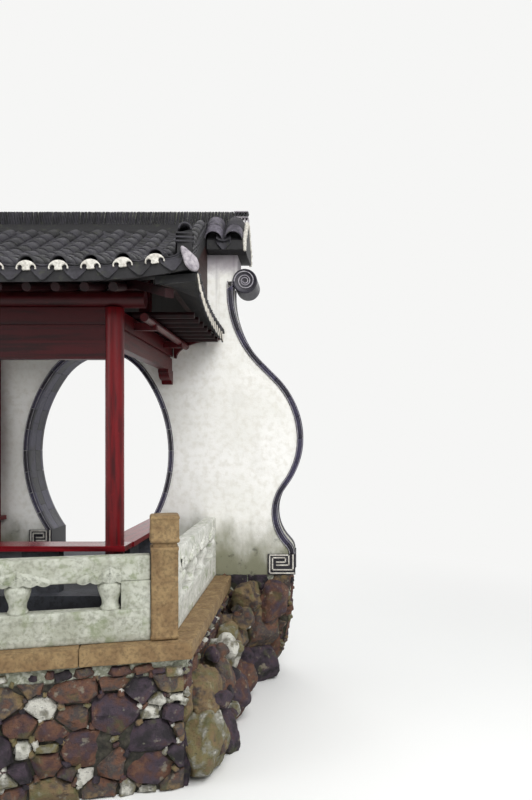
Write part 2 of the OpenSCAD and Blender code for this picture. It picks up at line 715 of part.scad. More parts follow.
// Rafters and the purlins that carry them
module purlin_eave() {
    over = 250;
    l = 2 * (col_half + over);
    color(lacquer) translate([porch_x - l / 2, -col_y, col_z - purlin_drop]) rotate([0, 90, 0]) cylinder(d = purlin_d, h = l);
}
module purlin_middle() {
    over = 60;
    l = 2 * (col_half + over);
    color(lacquer) {
        translate([porch_x - l / 2, -mid_y, mid_z - purlin_drop]) rotate([0, 90, 0]) cylinder(d = purlin_d, h = l);
        for (s = [-1, 1]) porch_side(s)
            translate([col_half - 50, -mid_y - 50, side_beam_z + side_beam_h])
                cube([100, 100, mid_z - purlin_drop - side_beam_z - side_beam_h]);
    }
}
side_purlin_d = 70;
side_rafter_d = 58;
side_rafter_z = side_beam_z + side_beam_h + side_rafter_d / 2 + seam;
module purlins_side() {
    arm = 60;
    reach = 245;
    z = side_beam_z + side_beam_h - side_purlin_d / 2;
    color(lacquer) for (s = [-1, 1]) porch_side(s) {
        translate([col_half + reach - side_purlin_d / 2, -col_y + 120, z]) rotate([-90, 0, 0])
            cylinder(d = side_purlin_d, h = col_y - 120 - bracket_t - 5);
        for (y = [-1700, -500]) translate([col_half + beam_w / 2 + 10, y, z - side_purlin_d / 2 - arm / 2])
            cube([reach - beam_w / 2 - 10, arm, arm]);
    }
}
// One straight rafter between two points of the roof line
module rafter(y0, z0, y1, z1) {
    l = norm([y1 - y0, z1 - z0]);
    translate([0, -y0, z0 - under - rafter_d / 2]) rotate([atan2(y1 - y0, z1 - z0), 0, 0])
        cylinder(d = rafter_d, h = l, $fn = 12);
}
// Distance from the wall at which a rafter at x from the porch's axis starts below the hip rafter
function past_hip(x) = col_y + ((hip_w / 2 + seam) * norm(hip_run) - (x - col_half + rafter_d / 2) * hip_run[1]) / hip_run[0];
module rafters_front() {
    half_count = 5;
    pitch = 215;
    tail = eave_y - 90;
    color(lacquer) for (i = [-half_count : half_count]) translate([porch_x + i * pitch, 0, 0]) {
        foot = abs(i * pitch) > col_half ? past_hip(abs(i * pitch)) : col_y + 10;
        rafter(40, roof_line(40), mid_y - 10, mid_z);
        rafter(mid_y + 10, mid_z, col_y - 10, col_z);
        rafter(foot, roof_line(foot), tail, roof_line(tail));
    }
}
module rafters_side() {
    count = 7;
    pitch = 250;
    color(lacquer) for (s = [-1, 1]) porch_side(s) for (i = [0 : count - 1])
        translate([col_half - beam_w / 2, -wall_col_y - col_d / 2 - 35 - pitch * i, side_rafter_z]) rotate([0, 90, 0])
            cylinder(d = side_rafter_d, h = skirt_edge(0) - col_half + beam_w / 2 - 30, $fn = 12);
}
bracket_t = 60;
// Distance from the gate's axis to the hollow of the S-curve at height z
function hollow_x(z) = s_top_x + hollow_r - sqrt(hollow_r * hollow_r - pow(s_top_z - z, 2));
// Curved board against the wall below the side eave, short of the end moulding
module eave_bracket(s) {
    x0 = col_half + col_d / 2 + 2;
    z0 = side_beam_z + 140;
    z1 = side_eave_z - skirt_t - 20;
    x1 = min(roof_half + skirt_out - 20, hollow_x(z1 + 18) - mould_w / 2 - 10 - s * porch_x);
    color(lacquer) porch_side(s) upright(-bracket_t, -seam)
        polygon(concat([[x1, z1], [x1, z1 + 18], [x0, z1 + 18], [x0, z0]],
            [for (i = [0 : 8]) let (a = 90 * i / 8) [x0 + 20 + (x1 - x0 - 20) * (1 - cos(a)), z0 + (z1 - z0) * sin(a)]]));
}

wall_footing();
gate_wall_side(-1);  // gate_wall_left
gate_wall_side(1);  // gate_wall_right
gate_wall_over();
gate_frame();
gate_fret(-1);  // gate_fret_left
gate_fret(1);  // gate_fret_right
gate_sill();
end_moulding(-1);  // end_moulding_left
end_moulding(1);  // end_moulding_right
end_scroll(-1);  // end_scroll_left
end_scroll(1);  // end_scroll_right
end_fret(-1);  // end_fret_left
end_fret(1);  // end_fret_right
coping_slopes();
coping_ridge();
ridge_end(-1);  // ridge_end_left
ridge_end(1);  // ridge_end_right
terrace_base();
corner_rocks(-1);  // corner_rocks_left
corner_rocks(1);  // corner_rocks_right
kerb_stones();
porch_floor();
corner_post(post_left_x);  // corner_post_left
corner_post(post_x);  // corner_post_right
balustrade_front();
balustrade_side(post_left_x);  // balustrade_left
balustrade_side(post_x);  // balustrade_right
seat_supports();
seat_board_front();
seat_board_side(-1);  // seat_board_left
seat_board_side(1);  // seat_board_right
column(-1, col_y);  // column_front_left
column(1, col_y);  // column_front_right
column(-1, wall_col_y);  // column_wall_left
column_bases();
beam_front();
beam_side(-1);  // beam_left
beam_side(1);  // beam_right
corbel_right();
purlin_eave();
purlin_middle();
purlins_side();
rafters_front();
rafters_side();
eave_bracket(-1);  // eave_bracket_left
eave_bracket(1);  // eave_bracket_right
roof_slope();
roof_skirt(-1);  // roof_skirt_left
roof_skirt(1);  // roof_skirt_right
gable(-1);  // gable_left
gable(1);  // gable_right
hip_ridge(-1);  // hip_ridge_left
hip_ridge(1);  // hip_ridge_right
hip_rafters();
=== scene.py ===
"""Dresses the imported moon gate: moulded brick, lime plaster, clay tiles, lacquer and stone.

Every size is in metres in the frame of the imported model: X runs along the wall,
Y runs from the porch through the gate, Z is up, and X is 0 on the gate's axis.
"""

import logging
import random
from dataclasses import dataclass, field
from enum import Enum
from functools import cache
from math import atan, atan2, ceil, copysign, cos, degrees, hypot, pi, radians, sin, sqrt, tan, tau
from typing import Any, Callable, Iterable, Optional, Sequence, Union

import bpy
from mathutils import Matrix, Vector, noise


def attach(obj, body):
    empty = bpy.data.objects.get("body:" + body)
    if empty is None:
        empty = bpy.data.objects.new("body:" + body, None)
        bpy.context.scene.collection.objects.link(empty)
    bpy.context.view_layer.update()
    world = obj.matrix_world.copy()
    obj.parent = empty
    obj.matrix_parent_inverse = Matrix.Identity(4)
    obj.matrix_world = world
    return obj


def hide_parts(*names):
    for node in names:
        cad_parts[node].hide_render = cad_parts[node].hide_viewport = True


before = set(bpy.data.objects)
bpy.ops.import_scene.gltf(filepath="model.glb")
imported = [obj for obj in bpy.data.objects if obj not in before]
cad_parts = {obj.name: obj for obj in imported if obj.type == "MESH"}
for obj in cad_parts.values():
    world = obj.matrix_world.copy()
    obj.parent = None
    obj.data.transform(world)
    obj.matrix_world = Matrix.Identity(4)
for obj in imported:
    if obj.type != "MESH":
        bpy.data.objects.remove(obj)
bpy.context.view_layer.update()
BODY = "root"
LOG = logging.getLogger("moon_gate")

Piece = bpy.types.Object
Material = bpy.types.Material
Socket = bpy.types.NodeSocket
Colour = Union[str, Socket]
Test = Callable[[Any], bool]
Pair = tuple[float, float]
Triple = tuple[float, float, float]
Section = Sequence[Pair]
Values = tuple[float, ...]

UP = Vector((0.0, 0.0, 1.0))
ALONG = Vector((1.0, 0.0, 0.0))
THROUGH = Vector((0.0, 1.0, 0.0))
# Thickness of the wall.
WALL = 0.400
# Settings of a map range with soft ends.
SOFT = {"clamp": True, "interpolation_type": "SMOOTHSTEP"}


class Slot(Enum):
    """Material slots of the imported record."""

    PLASTER = "lime_plaster"
    RUBBLE = "rubble_stone"
    BRICK = "dark_brick"
    TILE = "clay_tile"
    TAN = "tan_stone"
    PALE = "pale_stone"
    LACQUER = "red_lacquer"


class Side(Enum):
    """The two ends of the wall and the two sides of the porch."""

    LEFT = -1
    RIGHT = 1


def srgb(code: str) -> tuple[float, float, float, float]:
    """Turns an sRGB hex colour into linear RGBA."""
    raw = [int(code[i : i + 2], 16) / 255 for i in (1, 3, 5)]
    line = [c / 12.92 if c <= 0.04045 else ((c + 0.055) / 1.055) ** 2.4 for c in raw]
    return (line[0], line[1], line[2], 1.0)


class Graph:
    """The nodes of one material or world."""

    def __init__(self, owner: Any) -> None:
        """Empties the owner's node tree."""
        owner.use_nodes = True
        self.owner = owner
        self.tree = owner.node_tree
        self.tree.nodes.clear()

    def add(self, kind: str, links: Optional[dict] = None, out: Union[int, str] = 0, **settings: Any) -> Any:
        """Adds one node, sets it up and wires its inputs.

        Args:
            kind: The node's type name after "ShaderNode".
            links: Input name or index, with a value, a hex colour or the output to wire in.
            out: Name or index of the output that is wanted.
            settings: Attributes of the node itself.

        Returns:
            That output, or the node where it has none.
        """
        node = self.tree.nodes.new("ShaderNode" + kind)
        for key, value in settings.items():
            setattr(node, key, value)
        for key, value in (links or {}).items():
            if isinstance(value, Socket):
                self.tree.links.new(value, node.inputs[key])
            else:
                node.inputs[key].default_value = srgb(value) if isinstance(value, str) else value
        return node.outputs[out] if node.outputs else node

    def axis(self, name: str) -> Socket:
        """One object coordinate in metres."""
        return self.add("SeparateXYZ", {0: self.add("TexCoord", out="Object")}, name)

    def mottle(self, size_mm: float, detail: float = 4.0, stretch: Sequence[float] = (1, 1, 1),
               rough: float = 0.55) -> Socket:
        """Noise on object coordinates, with patches of about size_mm, stretched for streaks."""
        place = self.add("Mapping", {"Vector": self.add("TexCoord", out="Object"), "Scale": stretch})
        return self.add("TexNoise", {"Vector": place, "Scale": 1000.0 / size_mm, "Detail": detail,
                                     "Roughness": rough})

    def patches(self, size_mm: float, low: float, high: float, *more: Any) -> Socket:
        """Mottling with soft limits: none of it below low, all of it above high."""
        return self.add("MapRange", {0: self.mottle(size_mm, *more), 1: low, 2: high}, **SOFT)

    def drift(self, value: Socket, reach: float, size_mm: float, *more: Any) -> Socket:
        """A value pushed about by mottling, by up to reach."""
        blot = self.mottle(size_mm, *more)
        return self.add("Math", {0: blot, 1: reach, 2: value}, operation="MULTIPLY_ADD")

    def coat(self, under: Colour, over: Colour, *shares: Any) -> Socket:
        """Lays one colour over another.

        Args:
            under: Lower colour.
            over: Upper colour.
            shares: Factors whose product is how much of the upper colour shows.

        Returns:
            The mixed colour.
        """
        share = shares[0]
        for factor in shares[1:]:
            share = self.add("Math", {0: share, 1: factor}, operation="MULTIPLY")
        return self.add("Mix", {0: share, 6: under, 7: over}, 2, data_type="RGBA")


@dataclass(frozen=True)
class Finish:
    """A weathered mineral or painted surface with mottled colour and a rough face."""

    name: str
    slot: Slot
    base: str
    light: str
    dark: str
    patch_mm: float
    grain_mm: float
    rough: float
    bump: float
    growth: str = "#59603F"
    growth_share: float = 0.0
    toned: bool = False
    gloss: tuple[tuple[str, float], ...] = ()

    def colour(self, graph: Graph) -> Socket:
        """Mottled colour of the surface before any growth on it."""
        tint = graph.coat(self.base, self.light, graph.patches(self.patch_mm, 0.36, 0.66))
        if self.toned:
            tone = graph.add("Attribute", out="Fac", attribute_name="tone")
            tint = graph.coat(tint, self.light, graph.add("MapRange", {0: tone, 1: 0.35, 2: 1.0}, **SOFT))
            tint = graph.coat(tint, self.dark, graph.add("MapRange", {0: tone, 1: 0.45, 2: 0.0}, **SOFT))
        return graph.coat(tint, self.dark, graph.patches(self.grain_mm * 6, 0.42, 0.68, 5), 0.55)

    def dress(self, graph: Graph, colour: Socket) -> Socket:
        """Adds moss or algae to the colour where the finish has any."""
        if not self.growth_share:
            return colour
        spread = graph.patches(self.patch_mm * 0.8, 0.62 - self.growth_share * 0.3, 0.75, 6)
        return graph.coat(colour, self.growth, spread, 0.85)

    @cache
    def material(self) -> Material:
        """Makes the material once, with colour, roughness and relief wired into its shader."""
        graph = Graph(bpy.data.materials.new(self.name))
        colour = self.dress(graph, self.colour(graph))
        grit = graph.mottle(self.grain_mm, 3.0, (1, 1, 1), 0.6)
        waves = graph.mottle(self.grain_mm * 9, 3)
        height = graph.add("Math", {0: waves, 1: 2.0, 2: grit}, operation="MULTIPLY_ADD")
        relief = graph.add("Bump", {"Height": height, "Distance": self.bump, "Strength": 0.7})
        dull = graph.add("MapRange", {0: waves, 3: self.rough - 0.08, 4: self.rough + 0.08})
        links = {"Base Color": colour, "Roughness": dull, "Normal": relief, **dict(self.gloss)}
        graph.add("OutputMaterial", {"Surface": graph.add("BsdfPrincipled", links)})
        return graph.owner


@dataclass(frozen=True)
class LimePlaster(Finish):
    """Lime plaster: white, matt, with rain drips under the coping and algae at its foot."""

    top_z: float = 4.66
    foot_z: float = 1.15
    # Extent of the painted shade on the wall under the porch roof.
    porch_x: float = -0.18
    porch_half: float = 1.40
    painted_shade_z: float = 3.66

    def colour(self, graph: Graph) -> Socket:
        """White with drips, grey blooms, painted shade on the front face under the porch roof and a tide of
        moss.
        """
        tint = super().colour(graph)
        x, y, z = [graph.axis(name) for name in "XYZ"]
        high = graph.add("MapRange", {0: z, 1: self.top_z - 1.1, 2: self.top_z}, **SOFT)
        tint = graph.coat(tint, "#8E8C8A", graph.patches(120, 0.5, 0.72, 5, (1, 1, 0.05), 0.6), high, 0.7)
        tint = graph.coat(tint, "#BDBAB0", graph.patches(420, 0.52, 0.72, 6), 0.2)
        edge = {0: graph.drift(z, 0.3, 160, 5), 1: self.top_z - 0.14, 2: self.top_z + 0.06}
        tint = graph.coat(tint, "#857B86", graph.add("MapRange", edge, **SOFT), 0.75)
        # Near black on the front face under the porch roof: painted shade.
        aside = graph.add("Math", {0: x, 1: self.porch_x}, operation="SUBTRACT")
        aside = graph.add("Math", {0: aside}, operation="ABSOLUTE")
        under = ({0: aside, 1: self.porch_half, 2: self.porch_half - 0.04},
                 {0: z, 1: self.painted_shade_z - 0.05, 2: self.painted_shade_z + 0.08}, {0: y, 1: 0.2, 2: 0.1})
        tint = graph.coat(tint, "#1E1A1B", *[graph.add("MapRange", limit, **SOFT) for limit in under], 0.93)
        tide = {0: graph.drift(z, -1.1, 300, 6, (1, 1, 0.5)), 1: self.foot_z + 0.15, 2: self.foot_z - 0.5}
        foot = graph.add("MapRange", tide, **SOFT)
        tint = graph.coat(tint, "#77775F", foot, 0.95)
        return graph.coat(tint, "#3E3F35", graph.patches(90, 0.55, 0.7, 6), foot, 0.8)


@dataclass(frozen=True)
class Lacquer(Finish):
    """Oil lacquer on timber: deep red under a thin gloss, faded and rubbed in streaks."""

    run: Triple = (6.0, 6.0, 0.6)
    gloss: tuple[tuple[str, float], ...] = (("Coat Weight", 0.04), ("Coat Roughness", 0.2),
                                            ("Specular IOR Level", 0.25))

    def colour(self, graph: Graph) -> Socket:
        """Red with streaks along the timber, worn spots and a pale painted sheen on upward faces."""
        tint = graph.coat(self.base, self.dark, graph.patches(260, 0.42, 0.7, 5, self.run))
        tint = graph.coat(tint, self.light, graph.patches(45, 0.62, 0.74, 6), 0.35)
        # Upward faces turn pale pink in patches: painted sheen.
        above = graph.add("SeparateXYZ", {0: graph.add("NewGeometry", out="Normal")}, "Z")
        painted_sheen = graph.add("MapRange", {0: above, 1: 0.1, 2: 0.85}, **SOFT)
        return graph.coat(tint, "#8A4A44", painted_sheen, graph.patches(150, 0.4, 0.7, 5), 0.18)


@dataclass(frozen=True)
class FieldStone(Finish):
    """Field stones: each has its own hue, from purple brown to ochre, and a few are white."""

    hues: tuple[tuple[float, str], ...] = (
        (0.0, "#211C21"), (0.15, "#413540"), (0.27, "#4B3330"), (0.39, "#684735"), (0.52, "#433D3C"),
        (0.64, "#7A6548"), (0.76, "#6F6845"), (0.87, "#87857A"), (0.97, "#CFCDC3"))

    def colour(self, graph: Graph) -> Socket:
        """Hue by stone, veined and blotched inside each stone."""
        tone = graph.add("Attribute", out="Fac", attribute_name="tone")
        pick = graph.drift(graph.add("Math", {0: tone, 1: 0.475}, operation="SUBTRACT"), 0.95, 110, 6)
        tint = graph.add("ValToRGB", {"Fac": pick})
        stops = tint.node.color_ramp.elements
        while len(stops) < len(self.hues):
            stops.new(0.5)
        for stop, (place, hue) in zip(stops, self.hues):
            stop.position = place
            stop.color = srgb(hue)
        tint = graph.coat(tint, self.dark, graph.patches(26, 0.56, 0.7, 6, (1, 1, 2)), 0.6)
        tint = graph.coat(tint, self.light, graph.patches(70, 0.6, 0.7, 6), 0.45)
        return graph.coat(tint, "#4E5230", graph.patches(180, 0.56, 0.66, 7), 0.5)


@dataclass(frozen=True)
class BedMortar(Finish):
    """Mortar of the rubble: dark and earthy between the stones, pale where it beds the kerb."""

    bed_z: float = 0.868

    def colour(self, graph: Graph) -> Socket:
        """Dark mortar that turns to grey green lime above the bed's edge."""
        edge = {0: graph.drift(graph.axis("Z"), 0.05, 60, 4), 1: self.bed_z + 0.015, 2: self.bed_z + 0.045}
        spots = graph.coat("#8B8E7C", "#BEC0B2", graph.patches(34, 0.45, 0.62, 6))
        return graph.coat(super().colour(graph), spots, graph.add("MapRange", edge, **SOFT))


# Stretch of the streaks on timber that runs along X and along Y.
ACROSS = (0.5, 6.0, 6.0)
AWAY = (6.0, 0.5, 6.0)

# Lime plaster on brick: chalk white, broad soft stains, trowelled face with sand of about 2 mm.
PLASTER = LimePlaster("lime_plaster", Slot.PLASTER, "#E9E8E2", "#F3F2EE", "#D9D6CC", 900, 12, 0.85, 0.003)
# Ground grey brick: fine and dark, purple grey with pale lime bloom on its mouldings.
BRICK = Finish("ground_grey_brick", Slot.BRICK, "#221E2C", "#3B3750", "#14111A", 160, 3, 0.5, 0.0015,
               toned=True)
# Lime putty in the brick's joints and on the moulding's bead: pale, matt.
PUTTY = Finish("lime_putty", Slot.BRICK, "#96929B", "#B4B1B5", "#605C66", 90, 3, 0.8, 0.001)
# Sand and lime in the narrow joints of the moulded brick: brown grey.
JOINT = Finish("brick_joint", Slot.BRICK, "#2E2A2C", "#4A4545", "#191718", 40, 3, 0.9, 0.001)
# Reduction-fired clay tile: grey to near black, matt, with moss in its laps.
TILE = Finish("grey_clay_tile", Slot.TILE, "#19181C", "#2F2D34", "#0F0E11", 90, 4, 0.72, 0.002, "#33352A",
              0.22, True)
# Cover tiles of the coping, whose worn rims show paler lilac grey clay.
RIM_TILE = Finish("worn_clay_tile", Slot.TILE, "#3C3941", "#6A6570", "#201E23", 70, 4, 0.7, 0.002,
                  "#3C3E30", 0.2, True)
# Lime-washed clay of ears and lattice: lilac grey.
PALE_TILE = Finish("limewashed_clay", Slot.TILE, "#8C868C", "#B3ADB0", "#5B5660", 60, 4, 0.75, 0.002)
# Side drip tiles under old limewash: cream, chipped.
DRIP = Finish("limewashed_drip", Slot.PLASTER, "#C9C2B4", "#E2DDD2", "#857D74", 45, 4, 0.8, 0.002)
# Old lime mortar at the eaves: white, a little grey.
LIME = Finish("eave_lime_mortar", Slot.PLASTER, "#C4BFB6", "#D8D5CC", "#8E8980", 40, 3, 0.85, 0.002)
# Oil lacquer on fir columns: dark red with a low gloss, streaks down the shaft.
LACQUER = Lacquer("oil_lacquer", Slot.LACQUER, "#64070F", "#80181C", "#3A050A", 200, 2, 0.36, 0.0006)
# The same lacquer on beams and purlins, along X and along Y, darkened with painted shade under the roof, most
# on the members along X.
BEAM_X = Lacquer("beam_lacquer_x", Slot.LACQUER, "#3A070C", "#541416", "#200507", 200, 2, 0.42, 0.0006,
                 run=ACROSS)
BEAM_Y = Lacquer("beam_lacquer_y", Slot.LACQUER, "#4C080E", "#68181A", "#2A0609", 200, 2, 0.42, 0.0006,
                 run=AWAY)
# Seat boards, polished by use: brighter red and glossier.
SEAT_X = Lacquer("seat_lacquer_x", Slot.LACQUER, "#74101A", "#9A3432", "#470A10", 200, 2, 0.2, 0.0004,
                 run=ACROSS)
SEAT_Y = Lacquer("seat_lacquer_y", Slot.LACQUER, "#6A0E16", "#8A2426", "#400A0E", 200, 2, 0.42, 0.0004,
                 run=AWAY)
# Rafters, near black with painted shade under the roof.
RAFTER_SHADE = Lacquer("rafter_shade_lacquer", Slot.LACQUER, "#22070A", "#381113", "#120405", 200, 2, 0.5, 0.0006,
                 run=(3.0, 3.0, 3.0))
# Blue grey paving stone, worn smooth; its dark value is partly painted shade under the seats and the roof.
PAVING = Finish("paving_stone", Slot.PALE, "#2B2C31", "#42444B", "#18191C", 240, 5, 0.75, 0.003)
# Limestone of the balustrade: pale, with green algae and dark rain runs.
PALE = Finish("algae_limestone", Slot.PALE, "#A3A596", "#BDBFB3", "#787A6C", 150, 5, 0.82, 0.003,
              "#838C6C", 0.45)
# The side panels, which face the light: whiter, with algae near the kerb.
PALE_SIDE = Finish("lit_side_limestone", Slot.PALE, "#CBCBC2", "#DEDDD6", "#9C9E93", 150, 5, 0.82, 0.002,
                   "#8F9A74", 0.3)
# Sandstone of the posts and kerb: warm tan, pitted.
TAN = Finish("tan_sandstone", Slot.TAN, "#7B6242", "#927A55", "#4F3F2A", 110, 4, 0.85, 0.004)
# Field stones of the terrace wall.
FIELD = FieldStone("field_stone", Slot.RUBBLE, "#6B4A3C", "#9A9886", "#241E20", 150, 9, 0.82, 0.022)
# Boulders of yellow limestone: rounder and paler than the walling stones.
BOULDER = FieldStone("yellow_boulder", Slot.RUBBLE, "#857B56", "#A8A184", "#2A251F", 190, 8, 0.85, 0.024)
# Earthy lime mortar between them: grey, crumbling, with moss.
MORTAR = BedMortar("rubble_mortar", Slot.RUBBLE, "#24221E", "#4A463C", "#121110", 60, 9, 0.9, 0.012,
                   "#363B26", 0.3)
# Soffit boards, oiled, dark with painted shade under the roof; the gable takes them.
SOFFIT_SHADE = Lacquer("soffit_boards", Slot.LACQUER, "#2E1A17", "#4A2E28", "#1B0F0E", 200, 3, 0.6, 0.001,
                 run=(6.0, 0.6, 6.0))


def moved(x: float, y: float, z: float) -> Matrix:
    """A move as a matrix."""
    return Matrix.Translation((x, y, z))


def turned(angle: float, axis: str) -> Matrix:
    """A turn in radians about an axis through the origin."""
    return Matrix.Rotation(angle, 4, axis)


def sized(x: float, y: float, z: float) -> Matrix:
    """A scale as a matrix."""
    return Matrix.Diagonal((x, y, z, 1.0))


def spin(angle: float, axis: str, about: Triple) -> Matrix:
    """A turn in degrees about an axis through a point."""
    return moved(*about) @ turned(radians(angle), axis) @ moved(*about).inverted()


# Right to left, and front face to back face.
MIRROR = sized(-1.0, 1.0, 1.0)
BACK = spin(180, "Z", (0, WALL / 2, 0))


def clear() -> None:
    """Leaves edit mode and deselects everything."""
    if bpy.context.object and bpy.context.object.mode != "OBJECT":
        bpy.ops.object.mode_set(mode="OBJECT")
    bpy.ops.object.select_all(action="DESELECT")


def take(*things: Piece) -> Piece:
    """Selects these objects alone and makes the first one active."""
    clear()
    for thing in things:
        thing.select_set(True)
    bpy.context.view_layer.objects.active = things[0]
    return things[0]


def edit(thing: Piece, pick: Optional[Test] = None) -> None:
    """Enters edit mode with the picked faces selected.

    Args:
        thing: The object to edit.
        pick: Test on a polygon; None selects the whole mesh.
    """
    take(thing)
    bpy.ops.object.mode_set(mode="EDIT")
    bpy.ops.mesh.select_mode(type="FACE")
    bpy.ops.mesh.select_all(action="SELECT" if pick is None else "DESELECT")
    if pick is not None:
        bpy.ops.object.mode_set(mode="OBJECT")
        for face in thing.data.polygons:
            face.select = bool(pick(face))
        bpy.ops.object.mode_set(mode="EDIT")


def done() -> Piece:
    """Goes back to object mode and returns the active object."""
    bpy.ops.object.mode_set(mode="OBJECT")
    return bpy.context.object


def outward(thing: Piece) -> Piece:
    """Turns all normals outward."""
    edit(thing)
    bpy.ops.mesh.normals_make_consistent(inside=False)
    return done()


def block(low: Sequence[float], high: Sequence[float]) -> Piece:
    """A block that is shaped further.

    Args:
        low: Its low corner.
        high: Its high corner.

    Returns:
        The block, with its size in its mesh.
    """
    clear()
    middle = [(a + b) / 2 for a, b in zip(low, high)]
    bpy.ops.mesh.primitive_cube_add(size=1.0, location=middle, scale=[b - a for a, b in zip(low, high)])
    bpy.ops.object.transform_apply(location=True, rotation=True, scale=True)
    return bpy.context.object


def outline(points: Iterable[Sequence[float]]) -> Piece:
    """A flat face with the given corners, ready to pull or turn.

    Args:
        points: Corners in order.

    Returns:
        An object with one face.
    """
    clear()
    corners = [Vector(p) for p in points]
    bpy.ops.mesh.primitive_circle_add(vertices=len(corners), radius=1.0, fill_type="NGON")
    thing = bpy.context.object
    for vertex, corner in zip(thing.data.vertices, corners):
        vertex.co = corner
    return thing


def pull(thing: Piece, way: Vector) -> Piece:
    """Extrudes an outline along a vector into a solid."""
    edit(thing)
    bpy.ops.mesh.extrude_region_move(TRANSFORM_OT_translate={"value": tuple(way)})
    done()
    return outward(thing)


def revolve(thing: Piece, centre: Triple, axis: Vector, angle: float, steps: int) -> Piece:
    """Spins an outline into a solid.

    Args:
        thing: The outline.
        centre: A point on the axis.
        axis: The axis.
        angle: How far, in radians.
        steps: Segments on the way.

    Returns:
        The solid.
    """
    edit(thing)
    bpy.ops.mesh.spin(steps=steps, angle=angle, center=centre, axis=tuple(axis), use_auto_merge=False)
    done()
    return outward(thing)


def cut(thing: Piece, point: Sequence[float], normal: Sequence[float]) -> Piece:
    """Cuts away what lies on the normal's side of a plane and closes the cut."""
    edit(thing)
    bpy.ops.mesh.bisect(plane_co=tuple(point), plane_no=tuple(normal), use_fill=True, clear_outer=True)
    return done()


def divide(thing: Piece, cuts: int) -> Piece:
    """Subdivides all faces."""
    edit(thing)
    bpy.ops.mesh.subdivide(number_cuts=cuts)
    return done()


def swell(thing: Piece, inset: float, rise: float, pick: Test) -> Piece:
    """Insets the picked faces and moves them along their normal."""
    edit(thing, pick)
    bpy.ops.mesh.inset(thickness=inset, depth=rise)
    return done()


def modify(thing: Piece, kind: str, **settings: Any) -> Piece:
    """Adds one modifier with its settings and applies it."""
    take(thing)
    step = thing.modifiers.new(kind.lower(), kind)
    for key, value in settings.items():
        setattr(step, key, value)
    bpy.ops.object.modifier_apply(modifier=step.name)
    return thing


def soften(thing: Piece, width: float, segments: int = 1, angle: float = 35.0) -> Piece:
    """Rounds the edges that are sharper than an angle in degrees."""
    return modify(thing, "BEVEL", width=width, segments=segments, limit_method="ANGLE",
                  angle_limit=radians(angle))


def smooth(thing: Piece, angle: float) -> Piece:
    """Shades smooth below an angle in degrees."""
    take(thing)
    bpy.ops.object.shade_smooth_by_angle(angle=radians(angle))
    return thing


def push(thing: Piece, depth: float, height: Callable[[Vector], float]) -> Piece:
    """Moves each point along its normal.

    Args:
        thing: The object.
        depth: Factor on all moves, in metres.
        height: How far a point is moved, by its place.

    Returns:
        The same object.
    """
    moves = [v.normal * height(v.co) for v in thing.data.vertices]
    for vertex, move in zip(thing.data.vertices, moves):
        vertex.co += move * depth
    return thing


def wear(thing: Piece, size: float, depth: float, seed: float = 0.0) -> Piece:
    """Roughens by noise with swellings of about size, up to depth."""
    here = Vector((seed, seed * 0.7, -seed))
    return push(thing, depth, lambda p: noise.noise(p / size + here)
                + 0.5 * noise.noise(p / size * 2.3 - here))


def crack(thing: Piece, size: float, depth: float, seed: float) -> Piece:
    """Sinks branching ridges of noise, like splits in rock."""
    here = Vector((seed, -seed, seed * 0.3))
    return push(thing, depth, lambda p: min(
        0.0, 0.75 - noise.ridged_multi_fractal(p / size + here, 1.0, 2.1, 4, 1.0, 2.0)))


def level(thing: Piece, low: float = 0.001) -> Piece:
    """Presses what lies under the ground up to it."""
    for vertex in thing.data.vertices:
        vertex.co.z = max(vertex.co.z, low)
    return thing


def put(thing: Piece, matrix: Matrix) -> Piece:
    """Moves a mesh by a matrix and keeps its normals outward."""
    thing.data.transform(matrix)
    if matrix.determinant() < 0:
        thing.data.flip_normals()
    return thing


def copy(thing: Piece, matrix: Optional[Matrix] = None) -> Piece:
    """Copies an object with its own mesh, moved by a matrix."""
    twin = thing.copy()
    twin.data = thing.data.copy()
    bpy.context.scene.collection.objects.link(twin)
    return put(twin, matrix or Matrix())


def join(*things: Piece) -> Piece:
    """Joins objects into one mesh."""
    whole = take(*things)
    if len(things) > 1:
        bpy.ops.object.join()
    return whole


def twice(thing: Piece, matrix: Matrix) -> Piece:
    """Joins an object with its copy under a matrix."""
    return join(thing, copy(thing, matrix))


def shade(thing: Piece, value: float) -> Piece:
    """Stores a brightness per piece for its finish."""
    layer = thing.data.attributes.get("tone") or thing.data.attributes.new("tone", "FLOAT", "FACE")
    layer.data.foreach_set("value", [value] * len(thing.data.polygons))
    return thing


def pebble(cuts: int, roundness: float, size: float, depth: float, seed: float) -> Piece:
    """A worn lump one metre across: roundness is 0 for a block and 1 for a ball."""
    thing = divide(block((-0.5, -0.5, -0.5), (0.5, 0.5, 0.5)), cuts)
    return wear(modify(thing, "CAST", factor=roundness), size, depth, seed)


def stamp(master: Piece, places: Sequence[Matrix], seed: int) -> Piece:
    """Copies a master to every place, each with its own tone, and joins the copies.

    Args:
        master: The shape to repeat; it is used up.
        places: One matrix per copy.
        seed: Seed of the tones.

    Returns:
        The joined piece.
    """
    chance = random.Random(seed)
    twins = [shade(copy(master, place), chance.random()) for place in places]
    drop(master)
    return join(*twins)


def drop(*things: Piece) -> None:
    """Deletes objects with their meshes."""
    for thing in things:
        mesh = thing.data
        bpy.data.objects.remove(thing)
        bpy.data.meshes.remove(mesh)


def hand_in(thing: Piece, name: str, finish: Finish, *nodes: str, slot: Optional[Slot] = None) -> None:
    """Gives a piece its name, finish and body, and hides the CAD nodes it stands for.

    Args:
        thing: The finished piece.
        name: Its name.
        finish: Its finish.
        nodes: CAD nodes that it replaces.
        slot: The record's material slot, if not the finish's own; not used.
    """
    clear()
    thing.name = name
    thing.data.name = name
    thing.data.materials.clear()
    thing.data.materials.append(finish.material())
    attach(thing, BODY)
    if nodes:
        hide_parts(*nodes)
    LOG.info("%s: %d faces", name, len(thing.data.polygons))


